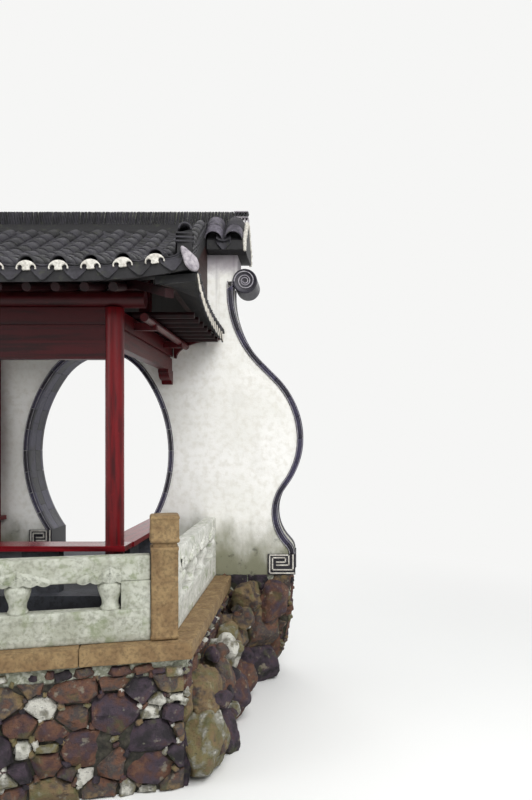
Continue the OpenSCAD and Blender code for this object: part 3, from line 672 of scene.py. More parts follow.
@dataclass(frozen=True)
class Eye:
    """The camera, set where the photographer stood, with the frame shifted and not tilted."""

    place: Triple = (2.373, -7.78, 2.65)
    lens_mm: float = 31.5
    shift_x: float = -0.0575
    shift_y: float = 0.045

    def set_up(self) -> None:
        """Makes the camera and gives it to the scene."""
        data = bpy.data.cameras.new("eye")
        data.lens = self.lens_mm
        data.shift_x = self.shift_x
        data.shift_y = self.shift_y
        camera = bpy.data.objects.new("eye", data)
        camera.location = self.place
        camera.rotation_euler = (radians(90), 0.0, 0.0)
        bpy.context.scene.collection.objects.link(camera)
        bpy.context.scene.camera = camera


@dataclass(frozen=True)
class Lamp:
    """A soft square studio lamp."""

    name: str
    place: Triple
    aim: Triple
    size: float
    power: float

    def hang(self) -> None:
        """Adds the lamp to the scene."""
        light = bpy.data.lights.new(self.name, "AREA")
        light.energy = self.power
        light.size = self.size
        thing = bpy.data.objects.new(self.name, light)
        thing.location = self.place
        way = Vector(self.aim) - Vector(self.place)
        thing.rotation_euler = way.to_track_quat("-Z", "Y").to_euler()
        bpy.context.scene.collection.objects.link(thing)


@dataclass(frozen=True)
class Studio:
    """A pale floor, a white surround and soft lamps."""

    floor_half: float = 30.0
    sky_strength: float = 0.56
    white: str = "#F6F6F5"
    lamps: tuple[Lamp, ...] = (Lamp("key", (5.5, -8.5, 9.5), (0.2, -1.0, 2.0), 7.0, 1150),
                               Lamp("fill", (-7.5, -6.0, 5.5), (0.0, -1.0, 2.2), 6.0, 200),
                               Lamp("back", (0.5, 9.0, 8.5), (0.0, 0.0, 2.0), 7.0, 420))

    def set_up(self) -> None:
        """Builds the floor, the world and the lamps."""
        bpy.context.scene.view_settings.view_transform = "Standard"
        bpy.ops.object.select_all(action="DESELECT")
        bpy.ops.mesh.primitive_plane_add(size=2 * self.floor_half, location=(0, 0, 0))
        floor = bpy.context.object
        floor.name = "studio_floor"
        floor.data.materials.append(self.floor_paint())
        self.surround()
        for lamp in self.lamps:
            lamp.hang()

    def floor_paint(self) -> Material:
        """Matt off-white floor that fades into the white surround some metres away."""
        graph = Graph(bpy.data.materials.new("studio_floor"))
        shader = graph.add("BsdfPrincipled", {"Base Color": "#EDEDEB", "Roughness": 0.9})
        reach = graph.add("VectorMath", {0: graph.add("TexCoord", out="Object")}, "Value", operation="LENGTH")
        fade = graph.add("MapRange", {0: reach, 1: 3.5, 2: 9.0}, **SOFT)
        seen = graph.add("LightPath", out="Is Camera Ray")
        share = graph.add("Math", {0: fade, 1: seen}, operation="MULTIPLY")
        glow = graph.add("Emission", {"Color": self.white, "Strength": 1.0})
        graph.add("OutputMaterial", {"Surface": graph.add("MixShader", {0: share, 1: shader, 2: glow})})
        return graph.owner

    def surround(self) -> None:
        """A plain white world that lights softly and shows as white to the camera."""
        graph = Graph(bpy.data.worlds.new("surround"))
        seen = graph.add("LightPath", out="Is Camera Ray")
        rays = seen.node.outputs
        for more in ("Is Glossy Ray", "Is Transmission Ray"):
            seen = graph.add("Math", {0: seen, 1: rays[more]}, operation="MAXIMUM")
        light = graph.add("Background", {"Color": "#F4F6F8", "Strength": self.sky_strength})
        white = graph.add("Background", {"Color": self.white, "Strength": 1.0})
        graph.add("OutputWorld", {"Surface": graph.add("MixShader", {0: seen, 1: light, 2: white})})
        bpy.context.scene.world = graph.owner


def dress_nodes() -> None:
    """Gives every CAD node the finish of what it is made of."""
    # Rafters, beams, purlins, the gable and the paving take finishes darkened with painted shade under the
    # roof and the seats.
    by_start = {
        "wall_footing": FIELD, "gate_wall": PLASTER, "gate_": BRICK,
        "end_": BRICK, "coping": TILE, "ridge": TILE, "terrace": FIELD,
        "corner_rocks": FIELD, "kerb": TAN, "porch_floor": PAVING,
        "corner_post": TAN, "balustrade": PALE, "seat_supports": PAVING,
        "seat_board_front": SEAT_X, "seat_board": SEAT_Y, "column_bases": PAVING,
        "column": LACQUER, "rafters": RAFTER_SHADE, "hip_rafter": RAFTER_SHADE,
        "purlin": BEAM_X, "beam_front": BEAM_X, "beam_": BEAM_Y,
        "roof": TILE, "gable": SOFFIT_SHADE, "hip_ridge": TILE, "": BEAM_Y}
    for name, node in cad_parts.items():
        finish = next(made for start, made in by_start.items() if name.startswith(start)).material()
        if not node.data.materials:
            node.data.materials.append(finish)
        for index in range(len(node.data.materials)):
            node.data.materials[index] = finish


def bead_section(offset: float, half: float, tip: float, low: float, high: float) -> Section:
    """Section of a bead round an offset, from half its width and Y at foot and tip."""
    return [(offset - half, low), (offset - tip, high), (offset + tip, high), (offset + half, low)]


@dataclass(frozen=True)
class Arc:
    """One circular piece of a moulding's line, drawn in X and Z, in degrees.

    grow is 1 where an offset to the outside makes the radius larger, else -1.
    """

    x: float
    z: float
    radius: float
    start: float
    end: float
    grow: int = 1

    def at(self, angle: float, offset: float = 0.0, y: float = 0.0) -> Vector:
        """A point on the line, moved to the outside by the offset."""
        reach = self.radius + self.grow * offset
        return Vector((self.x + reach * cos(radians(angle)), y, self.z + reach * sin(radians(angle))))

    def bricks(self, section: Section, long: float, joint: float = 0.003, bevel: float = 0.0015,
               steps: int = 4) -> Piece:
        """A course of moulded bricks along the line.

        Args:
            section: Corners as offset to the outside and Y.
            long: Wanted length of a brick.
            joint: Width of the joints; 0 makes one piece.
            bevel: Rounding of the edges.
            steps: Segments of one brick.

        Returns:
            The joined course.
        """
        length = self.radius * radians(abs(self.end - self.start))
        count = 1 if joint == 0 else max(1, round(length / long))
        each = (self.end - self.start) / count
        gap = copysign(degrees(joint / self.radius) / 2, each)
        master = outline([self.at(self.start + gap, o, y) for o, y in section])
        revolve(master, (self.x, 0, self.z), THROUGH, radians(each - 2 * gap), steps)
        if bevel:
            soften(master, bevel, 1, 50)
        return stamp(master, [spin(-each * i, "Y", (self.x, 0, self.z)) for i in range(count)], count)


@dataclass(frozen=True)
class Run:
    """One straight piece of a moulding's line, between two points in X and Z."""

    start: Pair
    end: Pair

    def bricks(self, section: Section, long: float, joint: float = 0.003, bevel: float = 0.0015,
               steps: int = 1) -> Piece:
        """A course of moulded bricks along the line; see Arc.bricks."""
        a, b = Vector((self.start[0], 0, self.start[1])), Vector((self.end[0], 0, self.end[1]))
        way = (b - a).normalized()
        out = Vector((way.z, 0, -way.x)) * (1 if way.z > 0 else -1)
        count = 1 if joint == 0 else max(1, round((b - a).length / long))
        each = (b - a).length / count
        master = outline([a + way * joint / 2 + out * o + Vector((0, y, 0)) for o, y in section])
        pull(master, way * (each - joint))
        if bevel:
            soften(master, bevel, 1, 50)
        return stamp(master, [Matrix.Translation(way * each * i) for i in range(count)], count + 5)


@dataclass
class GateFrame:
    """Moulded brick round the oval gateway, on both faces and through the reveal."""

    centre_z: float = 2.46
    crown_radius: float = 0.600
    crown_rise: float = 0.533
    side_radius: float = 1.4871
    side_centre: float = 0.7091
    side_angle: float = 36.93
    foot_angle: float = -34.87
    lining: float = 0.024
    brick_long: float = 0.235
    bead_at: Pair = (0.0105, 0.048)
    moulding: Section = (
        (0.0, 0.050), (0.0, -0.009), (0.004, -0.0145), (0.010, -0.016), (0.0165, -0.0135), (0.020, -0.006),
        (0.030, -0.0035), (0.040, -0.006), (0.043, -0.0135), (0.048, -0.016), (0.054, -0.0145),
        (0.058, -0.009), (0.058, 0.002), (0.022, 0.002), (0.022, 0.050))

    def course(self, *how: Any) -> list[Piece]:
        """One course along the right side, the crown and the left side; see Arc.bricks."""
        turn, foot = self.side_angle, self.foot_angle
        lines = [Arc(-self.side_centre, self.centre_z, self.side_radius, foot, turn),
                 Arc(0.0, self.centre_z + self.crown_rise, self.crown_radius, turn, 180 - turn),
                 Arc(self.side_centre, self.centre_z, self.side_radius, 180 - turn, 180 - foot)]
        return [arc.bricks(*how) for arc in lines]

    def build(self) -> None:
        """Builds the mouldings, their pale beads, the lining bricks and the mortar behind them."""
        face = join(*self.course(self.moulding, self.brick_long))
        both = twice(face, BACK)
        depth = (WALL - 0.100 - 0.002) / 2
        rows = []
        for row in range(2):
            y0 = 0.051 + row * (depth + 0.0005)
            y1 = y0 + depth - 0.002
            high = self.lining - 0.001
            rows += self.course([(0.0, y0), (0.0, y1), (high, y1), (high, y0)], 0.30 - 0.06 * row)
        whole = smooth(join(both, *rows), 42)
        hand_in(whole, "gate_moulding", BRICK, "gate_frame")
        beads = []
        for offset in self.bead_at:
            beads += self.course(bead_section(offset, 0.0035, 0.0015, -0.0150, -0.0182), 1, 0, 0, 24)
        line = twice(join(*beads), BACK)
        hand_in(smooth(line, 50), "gate_bead", PUTTY)
        bed = self.course([(0.003, 0.04), (0.003, 0.36), (0.0232, 0.36), (0.0232, 0.04)], 1, 0, 0, 24)
        hand_in(join(*bed), "gate_joints", JOINT)


@dataclass
class FretLines:
    """Pale fillets of the square frets at the gate's feet and at the foot of the wall ends."""

    gate: Pair = (0.5113, 1.390)
    gate_size: Pair = (0.250, 0.220)
    end: Pair = (1.8824, 1.1143)
    end_size: Pair = (0.306, 0.226)
    face: float = -0.0225
    line: float = 0.015
    paths: tuple[Section, ...] = (
        ((0.290, 0.016), (0.021, 0.016), (0.021, 0.2155), (0.233, 0.2155), (0.233, 0.104), (0.099, 0.104)),
        ((0.280, 0.2155), (0.280, 0.053), (0.053, 0.053), (0.053, 0.187), (0.196, 0.187), (0.196, 0.138),
         (0.099, 0.138)))

    def spiral(self, corner: Pair, size: Pair, flip: bool) -> list[Piece]:
        """Two pale fillets that wind into each other on the front face.

        Args:
            corner: Lower left corner of the plate.
            size: Width and height of the plate.
            flip: Mirrors the spiral within its plate.

        Returns:
            The straight lengths of both fillets.
        """
        (x, z), (w, h), t = corner, size, self.line
        bars = []
        for path in self.paths:
            points = [(a * w / self.end_size[0], b * h / self.end_size[1]) for a, b in path]
            for (ax, az), (bx, bz) in zip(points, points[1:]):
                x0, x1, z0, z1 = min(ax, bx), max(ax, bx), min(az, bz), max(az, bz)
                if flip:
                    x0, x1 = w - x1, w - x0
                bar = block((x + x0 - t / 2, self.face - 0.003, z + z0 - t / 2),
                            (x + x1 + t / 2, self.face + 0.004, z + z1 + t / 2))
                bars.append(soften(bar, 0.0018))
        return bars

    def build(self) -> None:
        """Builds the fillets on both faces of all four frets."""
        right = join(*self.spiral(self.gate, self.gate_size, True),
                     *self.spiral(self.end, self.end_size, False))
        every = twice(twice(right, MIRROR), BACK)
        hand_in(every, "fret_fillets", LIME, slot=Slot.BRICK)


@dataclass
class WallEnd:
    """S-curved moulding on the ends of the wall, rolled into a scroll at the top."""

    top_x: float = 1.460
    top_z: float = 4.270
    hollow: float = 1.166
    belly_x: float = 2.240
    belly_z: float = 2.620
    belly_up: float = 0.93437
    belly_low: float = 0.833
    turn_low: float = 37.96
    waist_x: float = 1.958
    waist_z: float = 1.800
    waist_r: float = 0.50005
    fret_x: float = 2.14840
    fret_z: float = 1.34034
    fret_r: float = 0.150
    half: float = 0.033
    depth: float = 0.090
    proud: float = 0.016
    scroll_x: float = 1.628
    scroll_z: float = 4.368
    scroll_r: float = 0.135
    volute_r: float = 0.112
    volute_shrink: float = 0.875
    volute_quarters: int = 12
    brick_long: float = 0.26
    bead_at: Pair = (-0.0245, 0.0250)

    def lines(self) -> list[Union[Arc, Run]]:
        """The S-curve from the scroll down to the fret."""
        r = self.hollow
        joint_a = (self.top_x + r - r * sqrt(0.5), self.top_z - r * sqrt(0.5))
        centre = self.belly_x - self.belly_up
        joint_b = (centre + self.belly_up * sqrt(0.5), self.belly_z + self.belly_up * sqrt(0.5))
        return [
            Arc(self.top_x + r, self.top_z, r, 180, 225, -1),
            Run(joint_a, joint_b),
            Arc(centre, self.belly_z, self.belly_up, 45, 0),
            Arc(self.belly_x - self.belly_low, self.belly_z, self.belly_low, 0, -self.turn_low),
            Arc(self.waist_x + self.waist_r, self.waist_z, self.waist_r, 180 - self.turn_low, 225, -1),
            Arc(self.fret_x - self.fret_r, self.fret_z, self.fret_r, 45, 0),
        ]

    def lead(self) -> Run:
        """The upright length under the scroll."""
        return Run((self.top_x, self.top_z), (self.top_x, self.scroll_z))

    def section(self) -> Section:
        """Section of the band: two rolls between hollows, as offset and Y."""
        h = self.half
        return [(-h, 0.0), (-h, -0.010), (-h + 0.005, -0.0145), (-h + 0.012, -0.0145), (-h + 0.016, -0.008),
                (-0.008, -0.006), (-0.004, -0.0150), (0.004, -0.0150), (0.008, -0.006), (h - 0.016, -0.008),
                (h - 0.012, -0.0155), (h - 0.004, -0.0160), (h, -0.010), (h, self.depth), (-h, self.depth)]

    def volute(self) -> list[Arc]:
        """Quarter arcs that carry the band's line over the scroll and into its eye."""
        quarters = []
        x, z, r = self.scroll_x - 0.006, self.scroll_z - 0.004, self.volute_r
        angle = 180.0
        for _ in range(self.volute_quarters):
            quarters.append(Arc(x, z, r, angle, angle - 90))
            smaller = r * self.volute_shrink
            swing = radians(angle - 90)
            x += (r - smaller) * cos(swing)
            z += (r - smaller) * sin(swing)
            r = smaller
            angle -= 90
        return quarters

    def scroll(self) -> Piece:
        """The roll through the wall's depth with a sunk face at each end, on the right."""
        count = 40
        ring = [(self.scroll_x + self.scroll_r * cos(tau * i / count), -self.proud - 0.010,
                 self.scroll_z + self.scroll_r * sin(tau * i / count)) for i in range(count)]
        drum = outline(ring)
        pull(drum, THROUGH * (WALL + 2 * self.proud + 0.020))
        swell(drum, 0.012, 0.0, lambda f: abs(f.normal.y) > 0.9)
        swell(drum, 0.004, -0.008, lambda f: abs(f.normal.y) > 0.9 and f.area > 0.03)
        soften(drum, 0.002, 1, 50)
        return smooth(shade(drum, 0.12), 42)

    def band(self) -> Piece:
        """The band with the scroll's rim on both faces, on the right."""
        band = [line.bricks(self.section(), self.brick_long) for line in self.lines()]
        top = self.lead().bricks(self.section(), self.brick_long)
        band.append(cut(top, (self.top_x - self.half, 0, self.top_z + 0.010), (-0.62, 0, 0.78)))
        rim = [(-0.009, 0.0), (-0.009, -0.020), (-0.003, -0.030), (0.003, -0.030), (0.009, -0.020),
               (0.009, 0.0)]
        edge = Arc(self.scroll_x, self.scroll_z, self.scroll_r - 0.008, 200, -160)
        band.append(edge.bricks(rim, 1, 0, 0, 48))
        return smooth(twice(join(*band), BACK @ MIRROR), 42)

    def build(self) -> None:
        """Builds bands, scrolls and beads at both ends and on both faces."""
        for make, name, node in ((self.band, "end_band_", "end_moulding_"),
                                 (self.scroll, "scroll_", "end_scroll_")):
            thing = make()
            other = copy(thing, MIRROR)
            hand_in(thing, name + "right", BRICK, node + "right")
            hand_in(other, name + "left", BRICK, node + "left")
        beads = []
        for offset in self.bead_at:
            section = bead_section(offset, 0.0035, 0.0015, -0.0140, -0.0180)
            beads += [line.bricks(section, 1, 0, 0, 20) for line in self.lines() + [self.lead()]]
        section = bead_section(0.0, 0.006, 0.004, -0.016, -0.0275)
        beads += [quarter.bricks(section, 1, 0, 0, 10) for quarter in self.volute()]
        pair = smooth(twice(join(*beads), BACK @ MIRROR), 50)
        hand_in(twice(pair, MIRROR), "end_bead", PUTTY)


def arch(half: float, high: float, start: int, end: int, step: int, middle: Pair = (0.0, 0.0)) -> list[Pair]:
    """Points of an elliptic arch round a middle in X and Z, from angle to angle in degrees."""
    return [(middle[0] + half * cos(radians(a)), middle[1] + high * sin(radians(a)))
            for a in range(start, end + 1, step)]


@dataclass
class TileSet:
    """Clay tiles of one slope, each drawn once at the origin and running towards -Y."""

    cover_r: float = 0.066
    cover_long: float = 0.215
    pan_wide: float = 0.170
    pan_long: float = 0.150
    thick: float = 0.013
    plug_wide: float = 0.146
    plug_high: float = 0.066
    curl_r: float = 0.0198
    camber: float = 0.030

    def draw(self, points: Sequence[Pair], long: float, start: float = 0.0) -> Piece:
        """Pulls an outline in X and Z towards -Y, from a start in Y."""
        return pull(outline([(x, start, z) for x, z in points]), THROUGH * -long)

    def cover(self) -> Piece:
        """Half-round cover tile with a rolled nose."""
        outer = [(self.cover_r * cos(pi * i / 8), self.cover_r * sin(pi * i / 8)) for i in range(9)]
        hollow = 1 - self.thick / self.cover_r
        tile = self.draw(outer + [(x * hollow, z * hollow) for x, z in reversed(outer)], self.cover_long)
        return smooth(soften(tile, 0.0025, 1, 50), 50)

    def pan(self) -> Piece:
        """Shallow concave pan tile."""
        half = self.pan_wide / 2
        low = [(half * (i / 3 - 1), self.camber * (i / 3 - 1) ** 2) for i in range(7)]
        tile = self.draw(low + [(x, z + self.thick) for x, z in reversed(low)], self.pan_long)
        return smooth(soften(tile, 0.002, 1, 50), 50)

    def plug(self) -> Piece:
        """Lime plug of a cover tile's end: an arched cap over a stem, with two hollow curls."""
        half, foot = self.plug_wide / 2, 0.006
        cap = [(x, foot + z) for x, z in arch(half, self.plug_high - foot, 0, 180, 15)]
        curl = arch(self.curl_r, self.curl_r, -35, 215, 25, (0.0450, 0.0125))
        right = [(half - 0.001, 0.0)] + curl + [(0.025, -foot)]
        left = [(-x, z) for x, z in reversed(right)]
        plug = self.draw(right[::-1] + cap + left[::-1], 0.022)
        return smooth(soften(plug, 0.0035, 2, 40), 60)

    def sink(self, tile: Piece, rim: float, depth: float, least: float) -> Piece:
        """Sinks the face of a tile inside its rim; least is an area that only the face has."""
        swell(tile, rim, 0.0, lambda f: f.normal.y < -0.9)
        return swell(tile, 0.003, -depth, lambda f: f.normal.y < -0.9 and f.area > least)

    def drip(self, wide: float = 0.178, deep: float = 0.088) -> Piece:
        """Drip tile: a pointed scallop that hangs from the lowest pan.

        Args:
            wide: Width at the top.
            deep: Depth of the tongue.

        Returns:
            The tile at the origin.
        """
        half = wide / 2
        top = [(half * (1 - i / 4), self.camber * (1 - i / 4) ** 2 + 0.012) for i in range(9)]
        side = [(half, 0.018)] + [(half * a, -deep * b) for a, b in ((0.93, 0.18), (0.72, 0.44), (0.42, 0.72),
                                                                      (0.2, 0.94))]
        low = [(-x, z) for x, z in side] + [(0, -deep)] + side[::-1]
        tile = self.sink(self.draw(top + low, 0.012), 0.007, 0.004, 0.004)
        return smooth(soften(tile, 0.002, 1, 50), 50)

    def tongue(self, wide: float, deep: float, start: float, thick: float) -> Piece:
        """A narrow tongue with a rounded tip: the tile of a side drip, or the lime left on it.

        Args:
            wide: Width.
            deep: How far it hangs.
            start: Y of its back.
            thick: Thickness towards -Y.

        Returns:
            The tongue at the origin.
        """
        half = wide / 2
        tip = arch(half, half * 0.8, 180, 360, 20, (0.0, -deep + half * 0.8))
        tile = self.draw([(half, 0.030), (-half, 0.030)] + tip, thick, start)
        self.sink(tile, 0.008, thick * 0.3, 0.002)
        return smooth(soften(tile, thick * 0.2, 2, 50), 50)


def lay(x: float, y: float, z: float, pitch: float, lean: float = 0.0, heading: float = 0.0) -> Matrix:
    """Place of a tile that runs down from a point: pitch down it, lean across it, heading about Z."""
    return moved(x, y, z) @ turned(heading, "Z") @ turned(pitch, "X") @ turned(lean, "Y")


@dataclass
class PorchRoof:
    """Tiled half-pavilion roof: front slope, side skirts, verge ridges and eaves."""

    axis_x: float = -0.180
    eave_y: float = 2.670
    half: float = 1.390
    spread: float = 0.290
    lift: float = 0.100
    bed: float = 0.045
    row: float = 0.235
    rows: int = 6
    skirt_z: float = 3.795
    skirt_rise: float = 0.070
    skirt_pitch: float = 0.6
    skirt_row: float = 0.208
    skirt_rows: int = 12
    cap_step: float = 0.180
    cover_step: float = 0.190
    pan_step: float = 0.098
    skirt_pans: Pair = (0.125, 0.210)
    ear_off: float = 1.664
    ear_z: float = 3.925
    line: tuple[Pair, ...] = ((0, 4.95), (1.05, 4.4196), (2.10, 4.0524), (2.67, 3.93))
    tiles: TileSet = field(default_factory=TileSet)

    def height(self, y: float) -> float:
        """Height of the roof's line at distance y from the wall."""
        for (y0, z0), (y1, z1) in zip(self.line, self.line[1:]):
            if y <= y1:
                return z0 + (z1 - z0) * (y - y0) / (y1 - y0)
        return self.line[-1][1] - 0.21 * (y - self.line[-1][0])

    def width(self, y: float) -> float:
        """Half the roof's width at distance y from the wall."""
        return self.half + self.spread * (y / self.eave_y) ** 2

    def bed_at(self, off: float, y: float) -> float:
        """Height of the slope under its tiles, off metres from the porch's axis."""
        t = min(1.0, y / self.eave_y)
        rise = self.lift * min(1.0, abs(off) / self.width(y)) ** 4 * t ** 3
        return self.height(y) + rise - self.bed

    def slope_at(self, off: float, y: float) -> Pair:
        """Pitch towards the eave and lean across, both in radians."""
        down = (self.bed_at(off, y + 0.05) - self.bed_at(off, y - 0.05)) / 0.1
        side = (self.bed_at(off + 0.04, y) - self.bed_at(off - 0.04, y)) / 0.08
        return atan(-down), atan(-side)

    def course(self, off: float, first: float, last: float, step: float, long: float, rise: float,
               tip: float) -> list[Matrix]:
        """Places of the tiles in one row.

        Args:
            off: Distance of the row from the porch's axis.
            first: Distance of the row's top from the wall.
            last: Distance of its lowest edge from the wall.
            step: Spacing of the tiles.
            long: Length of a tile.
            rise: Height over the bed.
            tip: How far each nose is tipped up, in radians.

        Returns:
            One matrix per tile.
        """
        places = []
        for i in range(max(1, ceil((last - first - long * 0.5) / step))):
            y = last - long * 0.97 - i * step
            if y < 0.004:
                break
            down, side = self.slope_at(off, y + long / 2)
            places.append(lay(self.axis_x + off, -y, self.bed_at(off, y) + rise, down - tip, side))
        return places

    def front(self) -> None:
        """Lays the covers and pans of the front slope, with lime plugs and drips at its eave."""
        covers, pans, plugs, drips = [], [], [], []
        y, tiles = self.eave_y, self.tiles
        for i in range(-self.rows, self.rows + 1):
            off = i * self.row
            start = 0.0 if abs(i) < self.rows else 2.22
            covers += self.course(off, start, y + 0.004, self.cover_step, tiles.cover_long, 0.012, 0.05)
            plugs.append(lay(self.axis_x + off, -y - 0.002, self.bed_at(off, y) - 0.022, 0.0,
                             self.slope_at(off, y)[1]))
        for i in range(-self.rows - 1, self.rows + 1):
            off = (i + 0.5) * self.row
            if abs(off) > 1.60:
                continue
            start = 0.0 if abs(off) < 1.25 else (1.20 if abs(off) < 1.45 else 2.50)
            pans += self.course(off, start, y - 0.004, self.pan_step, tiles.pan_long, -0.004, 0.03)
            drips.append(lay(self.axis_x + off, -y + 0.006, self.bed_at(off, y) - 0.016, radians(-9),
                             self.slope_at(off, y)[1]))
        hand_in(stamp(tiles.cover(), covers, 5), "roof_covers", TILE)
        hand_in(stamp(tiles.pan(), pans, 6), "roof_pans", TILE)
        hand_in(stamp(tiles.plug(), plugs, 7), "eave_plugs", LIME)
        hand_in(stamp(tiles.drip(), drips, 8), "eave_drips", TILE)

    def skirt_edge(self, y: float) -> Pair:
        """Distance of the side eave from the porch's axis, and its height, at y from the wall."""
        t = y / self.eave_y
        return self.half + 0.170 + 0.140 * t * t, self.skirt_z + self.skirt_rise * t ** 3

    def side_eaves(self) -> None:
        """Lays the skirt roofs with their covers, pans, plugs and pale drip tiles."""
        covers, pans, plugs, drips = [], [], [], []
        pitch = atan(self.skirt_pitch)
        for side in (-1, 1):
            heading = radians(90) * side
            for i in range(self.skirt_rows + 1):
                y = 0.110 + i * self.skirt_row
                edge, z = self.skirt_edge(y)
                if i < self.skirt_rows:
                    reach = min(0.19, edge - self.half + 0.03)
                    covers.append(lay(self.axis_x + side * (edge - reach), -y,
                                      z + self.skirt_pitch * reach - 0.012,
                                      pitch - 0.03, 0.0, heading) @ sized(0.85, 1.0, 0.75))
                    plugs.append(lay(self.axis_x + side * (edge + 0.006), -y, z - 0.018, 0.0, 0.0, heading)
                                 @ sized(0.85, 1.0, 0.7))
                y -= self.skirt_row / 2
                if y < 0.06:
                    continue
                edge, z = self.skirt_edge(y)
                for reach in self.skirt_pans:
                    pans.append(lay(self.axis_x + side * (edge - reach), -y,
                                    z + self.skirt_pitch * reach - 0.002,
                                    pitch - 0.02, 0.0, heading))
                drips.append(lay(self.axis_x + side * (edge + 0.001), -y, z - 0.012, radians(-8), 0.0,
                                 heading))
        tiles = self.tiles
        hand_in(stamp(tiles.cover(), covers, 9), "skirt_covers", TILE)
        hand_in(stamp(tiles.pan(), pans, 10), "skirt_pans", TILE)
        hand_in(stamp(tiles.plug(), plugs, 11), "side_plugs", TILE)
        drip = tiles.tongue(0.110, 0.122, 0.0, 0.012)
        hand_in(stamp(drip, drips, 12), "side_drips", TILE)
        lime = tiles.tongue(0.066, 0.112, -0.0115, 0.005)
        hand_in(stamp(lime, drips, 16), "side_limes", DRIP)

    def verge(self, side: int, y: float) -> Pair:
        """Distance of a verge ridge from the porch's axis, and the height of its top, at y from the wall."""
        off = side * (self.width(y) - 0.055)
        return off, self.bed_at(off, y) + 0.115 + 0.060 * (y / self.eave_y) ** 8

    def ridges(self) -> None:
        """Lays the cap tiles over thin courses on both verge ridges."""
        caps, bands = [], []
        for side in (-1, 1):
            y = 0.140
            while y < self.eave_y - 0.17:
                (off, z), (off2, z2) = self.verge(side, y), self.verge(side, y + self.cap_step)
                pitch = atan((z - z2) / self.cap_step)
                heading = atan2(off2 - off, self.cap_step)
                caps.append(lay(self.axis_x + off, -y, z + 0.004, pitch - 0.035, 0.0, heading))
                for down in (0.022, 0.052, 0.082):
                    bands.append(lay(self.axis_x + off, -y, z - down, pitch, 0.0, heading))
                y += self.cap_step
        cap = TileSet(cover_r=0.052, cover_long=0.215).cover()
        hand_in(stamp(cap, caps, 13), "verge_caps", TILE)
        band = soften(block((-0.066, -0.205, 0.0), (0.066, 0.0, 0.013)), 0.002)
        hand_in(stamp(band, bands, 14), "verge_bands", TILE)

    def ears(self) -> None:
        """Sets a pale egg-shaped ear at each front corner."""
        egg = []
        for i in range(20):
            a = tau * i / 20
            front = max(0.0, cos(a))
            egg.append((0.082 * (1.0 + 0.55 * front ** 2) * cos(a), 0.050 * sin(a) * (1.0 - 0.25 * front)))
        ear = smooth(soften(self.tiles.draw(egg, 0.030), 0.010, 3, 40), 60)
        places = [moved(self.axis_x + side * self.ear_off, -self.eave_y + 0.004, self.ear_z)
                  @ turned(radians(22 * side), "Z")
                  @ turned(radians(-90 - 34 * side), "Y") for side in (-1, 1)]
        hand_in(stamp(ear, places, 15), "corner_ears", PALE_TILE)

    def build(self) -> None:
        """Builds the whole covering."""
        self.front()
        self.side_eaves()
        self.ridges()
        self.ears()


